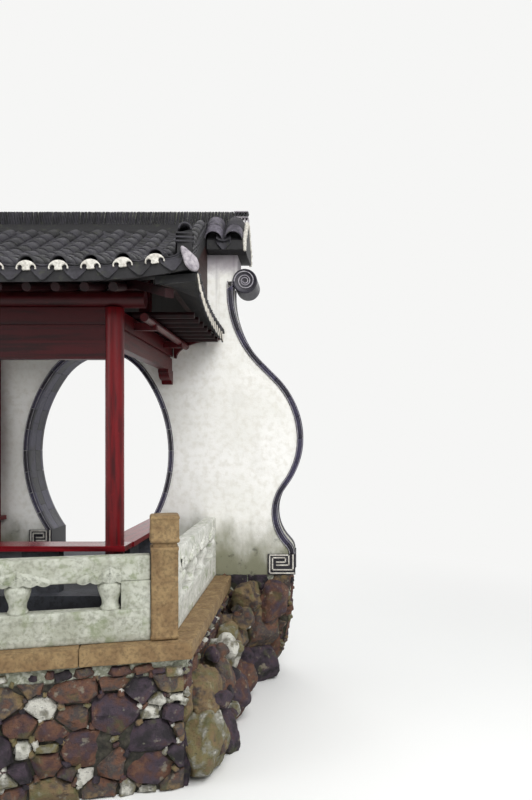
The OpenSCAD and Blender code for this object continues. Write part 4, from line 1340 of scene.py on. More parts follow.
@dataclass
class Coping:
    """Tiled coping of the wall: a ridge of tiles set on edge over short rows of covers and pans."""

    half: float = 1.650
    ridge_z: float = 5.040
    ridge_h: float = 0.160
    ridge_t: float = 0.110
    over: float = 0.170
    top_z: float = 4.660
    edge: float = 0.100
    row: float = 0.217
    rows: int = 7
    porch: Pair = (-1.590, 1.230)
    blade_step: float = 0.0185
    covers_at: Pair = (0.205, 0.370)
    pans_at: Values = (0.125, 0.205, 0.285, 0.365)
    tiles: TileSet = field(default_factory=lambda: TileSet(cover_r=0.100, cover_long=0.200, pan_wide=0.150))

    def ridge(self) -> None:
        """Stands the thin ridge tiles on edge in a bed of mortar."""
        blade = outline([(0, 0.046, 0.0), (0, 0.052, 0.075), (0, 0.045, 0.148), (0, -0.045, 0.148),
                         (0, -0.052, 0.075), (0, -0.046, 0.0)])
        soften(pull(blade, ALONG * 0.0125), 0.002)
        start, end = -self.half + self.ridge_h + 0.004, self.half - self.ridge_h - 0.016
        count = int((end - start) / self.blade_step)
        chance = random.Random(21)
        places = []
        for i in range(count + 1):
            place = moved(start + (end - start) * i / count, WALL / 2,
                          self.ridge_z + 0.006 + 0.003 * chance.random())
            places.append(place @ turned(radians(6 + 3 * chance.random()), "Y"))
        hand_in(stamp(blade, places, 22), "ridge_tiles", TILE, "coping_ridge")
        bed = block((start, WALL / 2 - 0.030, self.ridge_z), (end, WALL / 2 + 0.030, self.ridge_z + 0.150))
        wear(divide(bed, 6), 0.06, 0.004)
        hand_in(bed, "ridge_core", MORTAR, slot=Slot.TILE)

    def faces(self, x: float) -> list[Matrix]:
        """The faces that carry a row at x, as moves from the front face; the porch roof hides some."""
        return [BACK] if self.porch[0] < x < self.porch[1] else [Matrix(), BACK]

    def slopes(self) -> None:
        """Lays the short rows on both faces, with open arched ends and drips."""
        run = WALL / 2 - self.ridge_t / 2 - 0.020 + self.over
        z0 = self.top_z + 0.020 + self.edge
        pitch = atan((self.ridge_z - self.top_z - 0.020 - self.edge) / run)
        covers, pans, drips = [], [], []
        for i in range(-self.rows, self.rows + 1):
            x = i * self.row
            for face in self.faces(x) if abs(x) <= self.half - 0.06 else ():
                for d in self.covers_at:
                    covers.append(face @ lay(x, -self.over + d * cos(pitch) - 0.014,
                                             z0 + d * sin(pitch) - 0.004,
                                             pitch - 0.04))
        for i in range(-self.rows - 1, self.rows + 1):
            x = (i + 0.5) * self.row
            for face in self.faces(x) if abs(x) <= self.half - 0.07 else ():
                for d in self.pans_at:
                    pans.append(face @ lay(x, -self.over + d * cos(pitch) - 0.006,
                                           z0 + d * sin(pitch) - 0.012,
                                           pitch - 0.03))
                drips.append(face @ lay(x, -self.over - 0.002, z0 - 0.014, radians(-6)))
        tiles = self.tiles
        hand_in(stamp(tiles.cover(), covers, 23), "coping_covers", RIM_TILE)
        hand_in(stamp(tiles.pan(), pans, 24), "coping_pans", TILE)
        drip = tiles.drip(0.165, 0.100)
        hand_in(stamp(drip, drips, 25), "coping_drips", TILE)

    def lattices(self) -> None:
        """Closes both ends of the ridge with a pierced block."""
        x0, z0 = self.half - self.ridge_h, self.ridge_z
        bars = []
        for k in range(5):
            x = x0 + 0.008 + k * 0.036
            bars.append(soften(block((x, 0.150, z0), (x + 0.012, 0.250, z0 + 0.082)), 0.002))
        for z in (z0, z0 + 0.082, z0 + 0.146):
            bars.append(soften(block((x0, 0.146, z), (self.half, 0.254, z + 0.013)), 0.003))
        slats = []
        for k in range(5):
            slat = soften(block((-0.006, 0.150, -0.034), (0.006, 0.250, 0.034)), 0.002)
            slats.append(put(slat, moved(x0 + 0.016 + k * 0.032, 0, z0 + 0.120) @ turned(radians(24), "Y")))
        lime, dark = shade(join(*bars), 0.5), shade(join(*slats), 0.5)
        other = copy(lime, MIRROR)
        dark = twice(dark, MIRROR)
        hand_in(lime, "lattice_right", PALE_TILE, "ridge_end_right")
        hand_in(other, "lattice_left", PALE_TILE, "ridge_end_left")
        hand_in(dark, "lattice_slats", TILE)

    def verges(self) -> None:
        """Presses lumpy lime along the verges at both ends."""
        lump = smooth(pebble(3, 0.8, 0.4, 0.10, 3.0), 60)
        chance = random.Random(31)
        places = []
        run = WALL / 2 + self.over - 0.070
        for face in (Matrix(), BACK @ MIRROR):
            for i in range(15):
                share = i / 14
                y = -self.over + 0.012 + run * share
                z = self.top_z + 0.120 + (self.ridge_z - self.top_z - 0.120) * share + 0.004
                size = sized(0.030 + 0.014 * chance.random(), 0.040, 0.034 + 0.030 * chance.random())
                places.append(face @ moved(self.half - 0.012, y, z) @ turned(chance.random() * 3, "X") @ size)
            for i in range(7):
                z = self.top_z + 0.018 + 0.096 * i / 6
                size = sized(0.026 + 0.012 * chance.random(), 0.040, 0.026)
                places.append(face @ moved(self.half - 0.010, -self.over + 0.012, z) @ size)
        places += [MIRROR @ place for place in places]
        hand_in(stamp(lump, places, 32), "verge_lime", LIME)

    def build(self) -> None:
        """Builds the ridge, slopes and ends."""
        self.ridge()
        self.slopes()
        self.lattices()
        self.verges()


@dataclass(frozen=True)
class Face:
    """An upright face of masonry: a start point, a direction along it and the way out of it."""

    start: Vector
    along: Vector
    out: Vector
    long: float

    def at(self, s: float, z: float, depth: float = 0.0) -> Vector:
        """The point s metres along, z up and depth metres out of the face."""
        return self.start + self.along * s + self.out * depth + UP * z

    def facing(self) -> Matrix:
        """Carries what is drawn facing -Y onto this face."""
        side, out, start = self.along, self.out, self.start
        return Matrix(((side.x, -out.x, 0, start.x), (side.y, -out.y, 0, start.y), (0, 0, 1, 0),
                       (0, 0, 0, 1)))


@dataclass
class Terrace:
    """Plan of the terrace, shared by its kerb, posts, balustrades and rubble."""

    right_x: float = 1.480
    left_x: float = -1.670
    corner_y: float = -2.520
    skew: float = radians(14.0)
    kerb_z: float = 1.110
    kerb_t: float = 0.130
    wall_y: float = -0.030
    post_w: float = 0.210
    post_in: float = 0.240
    rail_in: float = 0.170

    def front_y(self, x: float, inset: float = 0.0) -> float:
        """Y of the front edge at x, moved in by inset."""
        return self.corner_y + inset / cos(self.skew) + (x - self.right_x) * tan(self.skew) + self.wall_y

    def rail(self, side: Side) -> Pair:
        """X and Y of the corner post on one side."""
        x = self.right_x - self.post_in if side is Side.RIGHT else self.left_x + self.post_in
        return x, self.front_y(x, self.rail_in) - self.wall_y

    def faces(self, inset: float) -> dict[str, Face]:
        """The front, left and right faces at an inset from the kerb's edge."""
        way = Vector((cos(self.skew), sin(self.skew), 0))
        left, right = self.left_x + inset, self.right_x - inset
        a = Vector((left, self.front_y(left, inset), 0))
        b = Vector((right, self.front_y(right, inset), 0))
        return {
            "front": Face(a, way, Vector((way.y, -way.x, 0)), (b - a).length),
            "left": Face(Vector((left, self.wall_y, 0)), -THROUGH, -ALONG, self.wall_y - a.y),
            "right": Face(b, THROUGH, ALONG, self.wall_y - b.y),
        }


def clip(points: list[Pair], middle: Pair, normal: Pair) -> list[Pair]:
    """Keeps the part of a polygon on the inner side of a line.

    Args:
        points: Corners of the polygon.
        middle: A point on the line.
        normal: The line's normal, away from what is kept.

    Returns:
        The clipped corners.
    """
    kept: list[Pair] = []
    for (ax, ay), (bx, by) in zip(points, points[1:] + points[:1]):
        da = (ax - middle[0]) * normal[0] + (ay - middle[1]) * normal[1]
        db = (bx - middle[0]) * normal[0] + (by - middle[1]) * normal[1]
        if da <= 0:
            kept.append((ax, ay))
        if da * db < 0:
            share = da / (da - db)
            kept.append((ax + (bx - ax) * share, ay + (by - ay) * share))
    return kept


@dataclass
class Walling:
    """Random rubble on one face: rough field stones of three sizes with lime chips in their gaps.

    edge gives the width that is left at a height, for a face whose end slants, and white
    is the place and radius of a white stone, which is set first.
    """

    face: Face
    high: float
    seed: int
    proud: float = 0.064
    scale: float = 1.0
    edge: Optional[Callable[[float], float]] = None
    white: Optional[Triple] = None
    low: float = 0.004
    sizes: tuple[tuple[float, int], ...] = ((0.128, 70), (0.082, 200), (0.046, 560))
    flat: float = 1.30
    gap: float = 0.022
    least: float = 0.030
    facets: int = 3
    chip_share: float = 0.40
    large_tones: Values = (0.02, 0.06, 0.1, 0.14, 0.2, 0.26, 0.3, 0.34, 0.38, 0.42, 0.46, 0.54, 0.6, 0.66)
    small_tones: Values = (0.1, 0.2, 0.35, 0.5, 0.62, 0.75, 0.86, 0.9, 0.97, 0.99)
    chip_tones: Values = (0.02, 0.14, 0.3, 0.42, 0.6, 0.66, 0.8, 0.88, 0.93)

    def scatter(self, chance: random.Random) -> list[Triple]:
        """Scatters seeds of three sizes over the face, large ones first.

        Args:
            chance: Source of the scatter.

        Returns:
            Place along, height and radius of each seed.
        """
        seeds = [self.white] if self.white else []
        for size, tries in self.sizes:
            radius = size * self.scale
            for _ in range(round(tries * self.face.long / 3 / self.scale)):
                s, z = chance.uniform(0.0, self.face.long), chance.uniform(self.low, self.high)
                if all(hypot((s - a) / self.flat, z - b) > 0.88 * (radius + r) for a, b, r in seeds):
                    seeds.append((s, z, radius))
        return seeds

    def cell(self, seeds: list[Triple], k: int) -> list[Pair]:
        """Outline of one stone: its seed's share of the face, larger for a larger seed.

        Args:
            seeds: All seeds.
            k: Which one.

        Returns:
            The corners, anticlockwise.
        """
        s, z, radius = seeds[k]
        wide = self.face.long / self.flat
        shape = [(0.0, self.low), (wide, self.low), (wide, self.high), (0.0, self.high)]
        for j, (other_s, other_z, other) in enumerate(seeds):
            du, dz = (other_s - s) / self.flat, other_z - z
            reach = hypot(du, dz)
            if j == k or reach > 0.8 or reach < 1e-6:
                continue
            half = (reach * reach + radius * radius - other * other) / (2 * reach) - self.gap / 2
            if half < 0.012:
                return []
            way = (du / reach, dz / reach)
            shape = clip(shape, (s / self.flat + way[0] * half, z + way[1] * half), way)
            if len(shape) < 3:
                return []
        return [(u * self.flat, z) for u, z in shape]

    def stone(self, shape: list[Pair], chance: random.Random) -> Piece:
        """Splits one stone out of a block: cut along its outline, then in facets over its face.

        Args:
            shape: Its outline.
            chance: Source of the cuts.

        Returns:
            The stone, facing -Y.
        """
        along, heights = [x for x, _ in shape], [z for _, z in shape]
        rise = self.proud * chance.uniform(0.7, 1.0)
        stone = divide(block((min(along), -rise, min(heights)), (max(along), 0.05, max(heights))), 6)
        for (ax, az), (bx, bz) in zip(shape, shape[1:] + shape[:1]):
            long = hypot(bx - ax, bz - az)
            if long > 0.008:
                way = ((bz - az) / long, -chance.uniform(0.15, 0.6), -(bx - ax) / long)
                cut(stone, (ax, -0.45 * rise, az), way)
        middle = Vector((sum(along) / len(along), 0, sum(heights) / len(heights)))
        wide = min(max(along) - min(along), max(heights) - min(heights))
        for _ in range(self.facets):
            turn = chance.uniform(0, tau)
            lean = chance.uniform(0.25, 0.6)
            way = Vector((cos(turn) * lean, -1, sin(turn) * lean)).normalized()
            aside = Vector((cos(turn), 0, sin(turn))) * wide * chance.uniform(0.05, 0.25)
            cut(stone, middle + Vector((0, -rise * 0.95, 0)) + aside, way)
        soften(stone, 0.006, 1, 30)
        wear(stone, 0.075, 0.014, middle.x * 7 + middle.z)
        return wear(stone, 0.022, 0.006, middle.x)

    def chips(self, corners: list[Pair], chance: random.Random) -> list[Piece]:
        """Presses lime lumps and spalls into some of the gaps where stones meet.

        Args:
            corners: Corners of all stones.
            chance: Source of the scatter.

        Returns:
            The chips.
        """
        lump = pebble(2, 1.0, 0.45, 0.42, 6.0)
        made = []
        for s, z in corners:
            if z < 0.04 or chance.random() > self.chip_share:
                continue
            size = chance.uniform(0.018, 0.048)
            there = (moved(s, -self.proud * chance.uniform(0.15, 0.5), z) @ turned(chance.uniform(0, 3), "Y")
                     @ sized(size * chance.uniform(0.8, 1.7), size, size))
            chip = copy(lump, self.face.facing() @ there)
            made.append(shade(chip, chance.choice(self.chip_tones)))
        drop(lump)
        return made

    def build(self) -> Piece:
        """Models every stone of the face, with the chips between them.

        Returns:
            The joined stones.
        """
        chance = random.Random(self.seed)
        seeds = self.scatter(chance)
        parts, corners = [], []
        for k, (_, _, radius) in enumerate(seeds):
            shape = self.cell(seeds, k)
            if self.edge:
                shape = [(min(x, self.edge(z)), z) for x, z in shape]
            corners += [(x, z) for x, z in shape if not self.edge or x < self.edge(z) - 0.04]
            if len(shape) < 3 or max(x for x, _ in shape) - min(x for x, _ in shape) < self.least:
                continue
            stone = self.stone(shape, chance)
            if len(stone.data.polygons) < 20:
                drop(stone)
                continue
            tone = chance.choice(self.small_tones if radius < 0.06 * self.scale else self.large_tones)
            parts.append(shade(put(stone, self.face.facing()), 0.99 if self.white and k == 0 else tone))
        parts += self.chips(corners, chance)
        return level(smooth(join(*parts), 34))


@dataclass
class Rubble:
    """The rubble base of the terrace and the footing of the wall, with their mortar."""

    plan: Terrace = field(default_factory=Terrace)
    inset: float = 0.078
    toe_x: float = 2.1814
    foot_z: float = 1.110
    toe: float = 0.345
    lean_low: float = 0.70
    lean_middle: float = 0.22
    lean_top: float = 0.04
    front_x: float = 1.40

    def core(self) -> None:
        """Models the mortar core behind the stones, with crumbling faces."""
        plan, inset = self.plan, self.inset
        left, right = plan.left_x + inset, plan.right_x - inset
        core = outline([(right, plan.wall_y, 0.0), (right, plan.front_y(right, inset), 0.0),
                        (left, plan.front_y(left, inset), 0.0), (left, plan.wall_y, 0.0)])
        pull(core, UP * (plan.kerb_z - plan.kerb_t - 0.002))
        wear(divide(core, 60), 0.09, 0.010)
        for vertex in core.data.vertices:
            if 0.86 < vertex.co.z < 0.975 and vertex.co.y < plan.wall_y - 0.1:
                way = Vector((vertex.normal.x, vertex.normal.y, 0))
                vertex.co += way * (0.020 + 0.016 * noise.noise(vertex.co / 0.03))
        half = [(self.toe_x - self.toe, 0.0), (self.toe_x - 0.135, 0.30), (self.toe_x - 0.065, 0.62),
                (self.toe_x - 0.045, self.foot_z - 0.002)]
        footing = outline([(x, 0.012, z) for x, z in half + [(-x, z) for x, z in reversed(half)]])
        pull(footing, THROUGH * (WALL - 0.024))
        wear(divide(footing, 40), 0.09, 0.012, 4.0)
        for thing, name in ((core, "rubble_mortar"), (footing, "footing_mortar")):
            hand_in(level(smooth(thing, 60)), name, MORTAR)

    def pebbles(self) -> None:
        """Sets small stones in the pale bed under the kerb."""
        stone = smooth(pebble(2, 0.65, 0.4, 0.22, 2.0), 35)
        chance = random.Random(71)
        places = []
        for face in self.plan.faces(self.inset).values():
            s = 0.03
            while s < face.long - 0.03:
                wide = chance.uniform(0.04, 0.15)
                if chance.random() < 0.3:
                    s += wide * 0.7
                    continue
                at = face.at(s + wide / 2, chance.uniform(0.885, 0.945), chance.uniform(-0.006, 0.016))
                turn = turned(atan2(face.along.y, face.along.x), "Z") @ turned(chance.uniform(-0.3, 0.3), "Y")
                places.append(Matrix.Translation(at) @ turn @ sized(wide, 0.10, chance.uniform(0.035, 0.075)))
                s += wide
        hand_in(stamp(stone, places, 72), "bed_pebbles", FIELD)

    def lean(self, z: float) -> float:
        """How far the footing's end stands out at a height."""
        middle = max(0.0, min(z, 0.62) - 0.30)
        return (self.toe_x - self.toe + self.lean_low * min(z, 0.30) + self.lean_middle * middle
                + self.lean_top * max(0.0, z - 0.62))

    def footing(self) -> None:
        """Lays the stones on the back, front and leaning ends of the wall's footing."""
        top, front_x = self.foot_z - 0.004, self.front_x
        back = Face(THROUGH * (WALL - 0.012), ALONG, THROUGH, self.toe_x)
        right = Walling(back, top, 14, 0.040, 1.35, self.lean).build()
        hand_in(twice(right, MIRROR), "footing_back", FIELD, "wall_footing")
        front = Face(Vector((front_x, 0.012, 0)), ALONG, -THROUGH, self.toe_x - front_x)
        one = Walling(front, top, 15, 0.040, 1.2, lambda z: self.lean(z) - front_x).build()
        end = Face(THROUGH * 0.010, THROUGH, ALONG, WALL - 0.020)
        two = Walling(end, top, 16, 0.036, 1.1).build()
        for vertex in two.data.vertices:
            vertex.co.x += self.lean(max(0.0, vertex.co.z)) - 0.004
        both = twice(join(one, two), MIRROR)
        hand_in(both, "footing_ends", FIELD)

    def build(self) -> None:
        """Builds mortar, stones and pebbles."""
        self.core()
        top = self.plan.kerb_z - self.plan.kerb_t - 0.100
        faces = self.plan.faces(self.inset)
        front = Walling(faces["front"], top, 11, white=(2.10, 0.675, 0.070)).build()
        hand_in(front, "rubble_front", FIELD, "terrace_base")
        for name, seed in (("left", 12), ("right", 13)):
            stones = Walling(faces[name], top, seed, scale=1.3).build()
            hand_in(stones, "rubble_" + name, FIELD)
        self.pebbles()
        self.footing()


@dataclass
class Boulders:
    """Boulders piled along the terrace's sides and under the wall ends."""

    plan: Terrace = field(default_factory=Terrace)
    size: float = 0.560
    toe_x: float = 2.1814
    grain: float = 0.042
    small_grain: float = 0.078
    radius: float = 0.56
    facets: int = 13
    small_count: int = 46
    tones: Values = (0.78, 0.62, 0.1, 0.5, 0.22, 0.86, 0.34, 0.56, 0.16, 0.44, 0.08, 0.52, 0.3, 0.6)
    small_tones: Values = (0.05, 0.14, 0.3, 0.42, 0.5, 0.56, 0.72, 0.9, 0.99)
    ends: tuple[tuple[Triple, Triple, int], ...] = (
        ((0.82, -0.3, 0.36), (1, 0.75, 1), 15), ((0.66, -0.23, 1.0), (0.93, 0.64, 0.86), 50),
        ((0.41, -0.2, 1.48), (0.89, 0.57, 0.79), 75), ((0.91, -0.27, 1.6), (0.77, 0.59, 0.71), 120))

    def master(self, seed: int, grain: float) -> Piece:
        """A split boulder one metre across: a ball cut by many planes, then weathered.

        Args:
            seed: Seed of its form.
            grain: Size of its finest facets.

        Returns:
            The boulder at the origin.
        """
        chance = random.Random(seed)
        clear()
        bpy.ops.mesh.primitive_ico_sphere_add(subdivisions=4, radius=self.radius)
        rock = bpy.context.object
        for _ in range(self.facets):
            way = Vector((chance.gauss(0, 1), chance.gauss(0, 1), chance.gauss(0, 0.8))).normalized()
            cut(rock, way * chance.uniform(0.34, 0.47), way)
        modify(rock, "REMESH", mode="VOXEL", voxel_size=grain)
        wear(rock, 0.30, 0.035, seed)
        crack(rock, 0.34, 0.030, seed * 2.0)
        wear(rock, 0.07, 0.012, seed * 3.0)
        return smooth(rock, 30)

    def vary(self, i: int) -> float:
        """Even spread between -1 and 1."""
        return sin(radians(137.5 * i))

    def places(self, side: Side) -> list[tuple[Vector, Vector, float]]:
        """Centre, size and turn of each boulder on one side, drawn as on the right."""
        corner = self.plan.right_x if side is Side.RIGHT else self.plan.left_x
        reach = -self.plan.front_y(corner) + self.plan.wall_y
        x0, b, vary = abs(corner), self.size, self.vary
        made = []
        for i in range(5):
            y = -reach + 0.46 * b + (reach - 0.86 * b) * i / 4
            low = Vector((x0 + b * (0.07 + 0.045 * vary(i)), y, b * (0.34 + 0.07 * vary(i + 6))))
            made.append((low, b * Vector((0.84 + 0.1 * vary(i + 12), 0.93, 1.0)), 25.0 * i))
            high = Vector((x0 + 0.036 * b * (1 + vary(i + 18)), y + 0.2 * b * vary(i + 24),
                           b * (1.05 + 0.07 * vary(i + 30))))
            size = Vector((0.59 + 0.07 * vary(i + 36), 0.86, 0.75 + 0.1 * vary(i + 42)))
            made.append((high, b * size, 40.0 * i + 10))
        for (dx, y, z), size, turn in self.ends:
            made.append((Vector((self.toe_x - dx * b, y * b, z * b)), b * Vector(size), float(turn)))
        return made

    def build(self) -> None:
        """Sets the boulders on both sides and fills the gaps with small ones."""
        masters = [self.master(seed, self.grain) for seed in (2, 5, 9, 13)]
        pieces = [self.master(seed, self.small_grain) for seed in (3, 7, 11, 17)]
        for side in Side:
            chance = random.Random(40 + side.value)
            name = side.name.lower()
            parts = []
            for i, (at, size, turn) in enumerate(self.places(side)):
                matrix = (moved(at.x * side.value, at.y, at.z) @ turned(radians(turn), "Z")
                          @ sized(size.x * 1.04, size.y * 1.04, size.z * 1.02) @ turned(i * 1.7, "Z"))
                parts.append(shade(copy(masters[i % 4], matrix), self.tones[i]))
            face = self.plan.faces(-0.02)[name]
            for i in range(self.small_count):
                s = chance.uniform(0.15, face.long - 0.1)
                z = chance.choice((chance.uniform(0.06, 0.3), chance.uniform(0.45, 0.85)))
                size = chance.uniform(0.12, 0.30)
                matrix = Matrix.Translation(face.at(s, z, chance.uniform(0.0, 0.17)))
                matrix = matrix @ turned(chance.uniform(0, 6), "Z") @ turned(chance.uniform(-0.5, 0.5), "X")
                rock = copy(pieces[i % 4], matrix @ sized(size, size * 0.8, size * 0.75))
                parts.append(shade(rock, chance.choice(self.small_tones)))
            pile = cut(join(*parts), (0, 0, 0.002), (0, 0, -1))
            hand_in(level(smooth(pile, 38)), "boulders_" + name, BOULDER, "corner_rocks_" + name)
        drop(*masters, *pieces)


@dataclass
class Kerb:
    """Tan kerb stones round the terrace and the two square corner posts."""

    plan: Terrace = field(default_factory=Terrace)
    band: float = 0.330
    joint: float = 0.002
    post_h: float = 0.940
    cap: float = 0.210
    neck: float = 0.030

    def stones(self) -> None:
        """Lays the kerb, mitred at the front corners."""
        plan, band = self.plan, self.band
        low, high = plan.kerb_z - plan.kerb_t, plan.kerb_z
        mitre = band * tan(plan.skew)
        chance = random.Random(51)
        parts = []
        for name, face in plan.faces(0.0).items():
            start, count = (0.0, 4) if name == "front" else (band, 3)
            for i in range(count):
                a = start + (face.long - start) * i / count + self.joint
                b = start + (face.long - start) * (i + 1) / count - self.joint
                ring = [face.at(a, low), face.at(b, low), face.at(b, low, -band), face.at(a, low, -band)]
                if name == "front" and i == 0:
                    ring[3] = face.at(a + mitre, low, -band)
                if name == "front" and i == count - 1:
                    ring[2] = face.at(b + mitre, low, -band)
                if name == "right" and i == 0:
                    ring[0] = face.at(a - band * 0.02, low)
                stone = pull(outline(ring), UP * (high - low - 0.001 - chance.uniform(0, 0.003)))
                soften(divide(stone, 7), 0.010, 2, 50)
                wear(stone, 0.12, 0.0035, i * 2.0)
                parts.append(shade(stone, chance.random()))
        kerb = smooth(join(*parts), 40)
        hand_in(kerb, "kerb", TAN, "kerb_stones")

    def post(self) -> Piece:
        """A corner post at the origin: a panelled shaft, a neck and a cushion cap."""
        w, shaft = self.plan.post_w / 2, self.post_h - self.cap - self.neck
        pieces = []
        for half, z0, z1, bevel in ((w, 0.0, shaft, 0.012),
                                    (w * 0.84, shaft - 0.005, shaft + self.neck + 0.005, 0.004),
                                    (w * 1.06, shaft + self.neck, self.post_h, 0.018)):
            part = block((-half, -half, z0), (half, half, z1))
            if half > w * 0.9:
                reach = half * 0.7
                swell(part, half * 0.24, 0.0, lambda f: abs(f.normal.z) < 0.1)
                swell(part, 0.006, -0.004, lambda f: abs(f.normal.z) < 0.1 and f.area > 0.006
                      and min(abs(f.center.x), abs(f.center.y)) < reach)
            divide(soften(part, bevel, 3, 50), 2)
            wear(part, 0.09, 0.0035, z0 * 5)
            pieces.append(shade(part, 0.5))
        return join(*pieces)

    def build(self) -> None:
        """Models the kerb stones and posts."""
        self.stones()
        for side in Side:
            place = moved(*self.plan.rail(side), self.plan.kerb_z) @ turned(self.plan.skew, "Z")
            post = smooth(put(self.post(), place), 40)
            name = "corner_post_" + side.name.lower()
            hand_in(post, "stone_" + name, TAN, name)


@dataclass
class Balustrades:
    """Low stone balustrades pierced by long openings with turned vases and carved clouds."""

    plan: Terrace = field(default_factory=Terrace)
    high: float = 0.640
    thick: float = 0.130
    slot_z: float = 0.240
    slot_h: float = 0.210
    margin: float = 0.215
    end_gap: float = 0.080
    pitch: float = 0.655
    cloud_wide: float = 0.235
    scallop: float = 0.094
    relief: float = 0.011
    belly: Section = (
        (0.0, 0.0), (0.070, 0.0), (0.074, 0.010), (0.072, 0.020), (0.063, 0.034), (0.061, 0.052),
        (0.066, 0.080), (0.078, 0.110), (0.088, 0.140), (0.093, 0.163), (0.092, 0.182), (0.084, 0.196),
        (0.070, 0.210), (0.0, 0.210))
    curls: tuple[Triple, ...] = (
        (0.000, 0.050, 0.026), (0.047, 0.016, 0.019), (0.094, 0.022, 0.020), (0.060, 0.052, 0.015),
        (0.141, 0.014, 0.017), (0.188, 0.010, 0.015), (0.118, 0.045, 0.012))

    def vase(self) -> Piece:
        """Turned vase: a wide shoulder under the rim, a low waist and a small foot."""
        vase = outline([(x, 0.0, z) for x, z in self.belly])
        revolve(vase, (0, 0, 0), UP, radians(360), 28)
        edit(vase)
        bpy.ops.mesh.remove_doubles(threshold=0.0004)
        bpy.ops.mesh.delete_loose()
        done()
        return smooth(outward(vase), 50)

    def cloud(self) -> Piece:
        """Right half of a carved cloud: a low mound on the rail with a scalloped edge and curls."""
        low, high = [], []
        for i in range(31):
            x = self.cloud_wide * i / 30
            fall = 1 - x / self.cloud_wide
            wave = abs(sin(pi * (x / self.scallop + 0.5)))
            low.append((x, 0.0, -0.006 - 0.016 * wave))
            high.append((x, 0.0, 0.020 + 0.072 * fall ** 0.7 + 0.012 * wave * fall))
        cloud = pull(outline(low + high[::-1]), THROUGH * -self.relief)
        parts = [soften(cloud, 0.003, 2, 50)]
        for x, z, radius in self.curls:
            for size in (radius, radius * 0.52):
                bpy.ops.mesh.primitive_torus_add(
                    major_segments=20, minor_segments=6, major_radius=size, minor_radius=0.0035,
                    location=(x, -self.relief, z), rotation=(pi / 2, 0, 0))
                curl = bpy.context.object
                bpy.ops.object.transform_apply(location=True, rotation=True, scale=True)
                parts.append(cut(curl, (x, 0, z + size * 0.35), (0.5, 0, 0.9)) if size == radius else curl)
        return smooth(cut(join(*parts), (0, 0, 0), (-1, 0, 0)), 45)

    def rails(self, long: float, seed: int) -> list[Piece]:
        """The panelled plinth, the two end blocks and the hand rail of one panel.

        Args:
            long: Its length.
            seed: Seed of its wear.

        Returns:
            The four blocks.
        """
        t, low, top = self.thick / 2, self.slot_z, self.slot_z + self.slot_h
        lap = 0.002
        parts = []
        for i, (x0, z0, x1, z1) in enumerate((
                (0.0, 0.0, long, low), (0.0, low - lap, self.margin, top + lap),
                (long - self.margin, low - lap, long, top + lap), (0.0, top, long, self.high))):
            part = block((x0, -t, z0), (x1, t, z1))
            if i == 0:
                swell(part, 0.055, 0.0, lambda f: abs(f.normal.y) > 0.9)
                swell(part, 0.010, -0.003, lambda f: abs(f.normal.y) > 0.9 and f.area > 0.05
                      and abs(f.center.z - low / 2) < 0.02)
            soften(part, *((0.016, 3) if i == 3 else (0.003, 1)), 50)
            divide(part, 2)
            wear(part, 0.16, 0.0022, seed + i * 3.1)
            parts.append(shade(part, 0.5))
        return parts

    def panel(self, long: float, seed: int) -> Piece:
        """One panel along X from 0 to its length, centred on Y.

        Args:
            long: Its length.
            seed: Seed of its wear.

        Returns:
            The joined panel.
        """
        inner = long - 2 * self.margin - 2 * self.end_gap
        count = max(1, round(inner / self.pitch))
        parts = self.rails(long, seed)
        vase, cloud = self.vase(), self.cloud()
        short = cut(copy(cloud), (self.end_gap, 0, 0), (1, 0, 0))
        for i in range(count + 1):
            x = self.margin + self.end_gap + i * inner / count
            parts.append(shade(copy(vase, moved(x, 0, self.slot_z) @ turned(i * 0.9, "Z")), 0.4))
            for face in (-1, 1):
                for hand in (-1, 1):
                    source = short if (i, hand) in ((0, -1), (count, 1)) else cloud
                    place = moved(x, face * (self.thick / 2 - 0.004), self.slot_z + self.slot_h + 0.012)
                    parts.append(shade(copy(source, place @ sized(hand, -1.7 * face, 1)), 0.55))
        drop(vase, cloud, short)
        return join(*parts)

    def build(self) -> None:
        """Builds the front and both side panels."""
        plan = self.plan
        (left, left_y), (right, _) = plan.rail(Side.LEFT), plan.rail(Side.RIGHT)
        way = Vector((cos(plan.skew), sin(plan.skew), 0))
        front = self.panel((right - left) / cos(plan.skew) - plan.post_w, 1)
        start = Vector((left, left_y, plan.kerb_z)) + way * plan.post_w / 2
        put(front, Matrix.Translation(start) @ turned(plan.skew, "Z"))
        hand_in(smooth(front, 45), "stone_rail_front", PALE, "balustrade_front")
        for side in (Side.RIGHT, Side.LEFT):
            x, y = plan.rail(side)
            panel = self.panel(-y - plan.post_w / 2 + 0.004, 2 + side.value)
            put(panel, moved(x, -0.0005, plan.kerb_z) @ turned(radians(-90), "Z"))
            name = side.name.lower()
            hand_in(smooth(panel, 45), "stone_rail_" + name, PALE_SIDE, "balustrade_" + name)


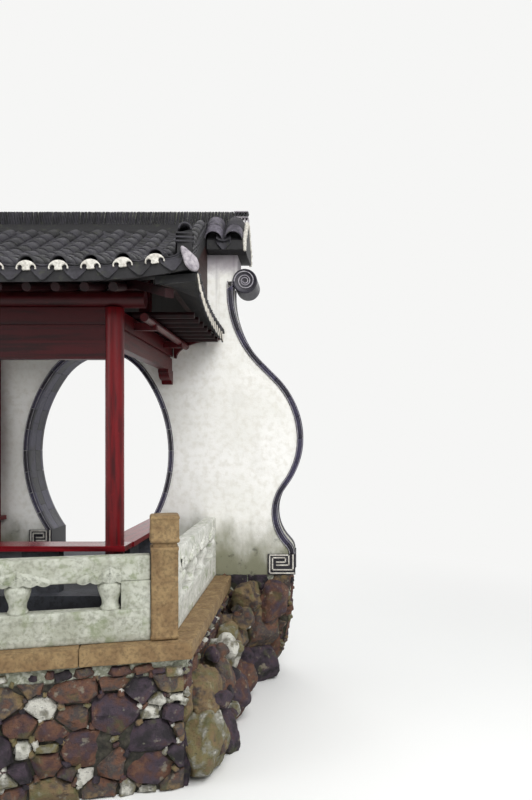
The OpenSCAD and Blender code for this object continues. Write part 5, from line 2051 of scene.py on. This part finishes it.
@dataclass
class Timber:
    """Columns, beams, purlins, rafters, seats and the stone under them."""

    axis_x: float = -0.180
    half: float = 0.953
    front_y: float = -2.100
    wall_y: float = -0.076
    radius: float = 0.075
    base_z: float = 1.450
    top_z: float = 3.687
    sides: int = 36
    rings: int = 24

    def column(self, x: float, y: float, seed: float) -> Piece:
        """A round fir column with a faint swelling and the dents of hand work.

        Args:
            x, y: Its middle.
            seed: Seed of the dents.

        Returns:
            The column.
        """
        high = self.top_z - self.base_z
        turns = [tau * i / self.sides for i in range(self.sides)]
        shaft = outline([(x + self.radius * cos(a), y + self.radius * sin(a), self.base_z) for a in turns])
        pull(shaft, UP * high)
        for k in range(1, self.rings):
            edit(shaft)
            bpy.ops.mesh.bisect(plane_co=(0, 0, self.base_z + high * k / self.rings), plane_no=(0, 0, 1))
            done()
        soften(shaft, 0.003, 2, 60)
        wear(shaft, 0.5, 0.0015, seed)
        wear(shaft, 0.06, 0.0006, seed)
        return shade(smooth(shaft, 45), 0.5)

    def dressed(self, node: str, finish: Finish, depth: float = 0.0007, arris: float = 0.005) -> None:
        """Works a member over by hand: its form from the frame, with eased arrises and an uneven face.

        Args:
            node: The CAD node that it stands for.
            finish: Its finish.
            depth: Depth of the unevenness.
            arris: Width of the eased edge.
        """
        member = copy(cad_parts[node])
        soften(member, arris, 2, 28)
        wear(member, 0.07, depth, len(node))
        hand_in(smooth(shade(member, 0.5), 35), "hand_" + node, finish, node)

    def build(self) -> None:
        """Builds the columns and dresses every other member."""
        places = {"column_front_right": (self.axis_x + self.half, self.front_y),
                  "column_front_left": (self.axis_x - self.half, self.front_y),
                  "column_wall_left": (self.axis_x - self.half, self.wall_y)}
        for i, (node, (x, y)) in enumerate(places.items()):
            hand_in(self.column(x, y, 3.0 * i), "round_" + node, LACQUER, node)
        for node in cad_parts:
            if node.startswith("seat_board"):
                finish = SEAT_X if node.endswith("front") else SEAT_Y
                self.dressed(node, finish, 0.0006, 0.012)
            elif node in ("beam_front", "purlin_eave", "purlin_middle"):
                self.dressed(node, BEAM_X)
            elif node.startswith(("beam_", "corbel", "eave_bracket", "purlins")):
                self.dressed(node, BEAM_Y)
            elif node.startswith(("rafters", "hip_rafter")):
                self.dressed(node, RAFTER_SHADE, arris=0.004)
            elif node.startswith(("seat_supports", "column_bases")):
                self.dressed(node, PAVING, 0.002, 0.008)


ASSEMBLIES = (GateFrame, FretLines, WallEnd, PorchRoof, Coping, Rubble, Boulders, Kerb, Balustrades, Timber)


def main() -> None:
    """Builds the studio, the finishes and every sub-assembly in order."""
    logging.basicConfig(level=logging.INFO, format="%(name)s: %(message)s")
    Eye().set_up()
    Studio().set_up()
    dress_nodes()
    for assembly in ASSEMBLIES:
        assembly().build()
        LOG.info("%s done", assembly.__name__)
    clear()


if __name__ == "__main__":
    main()
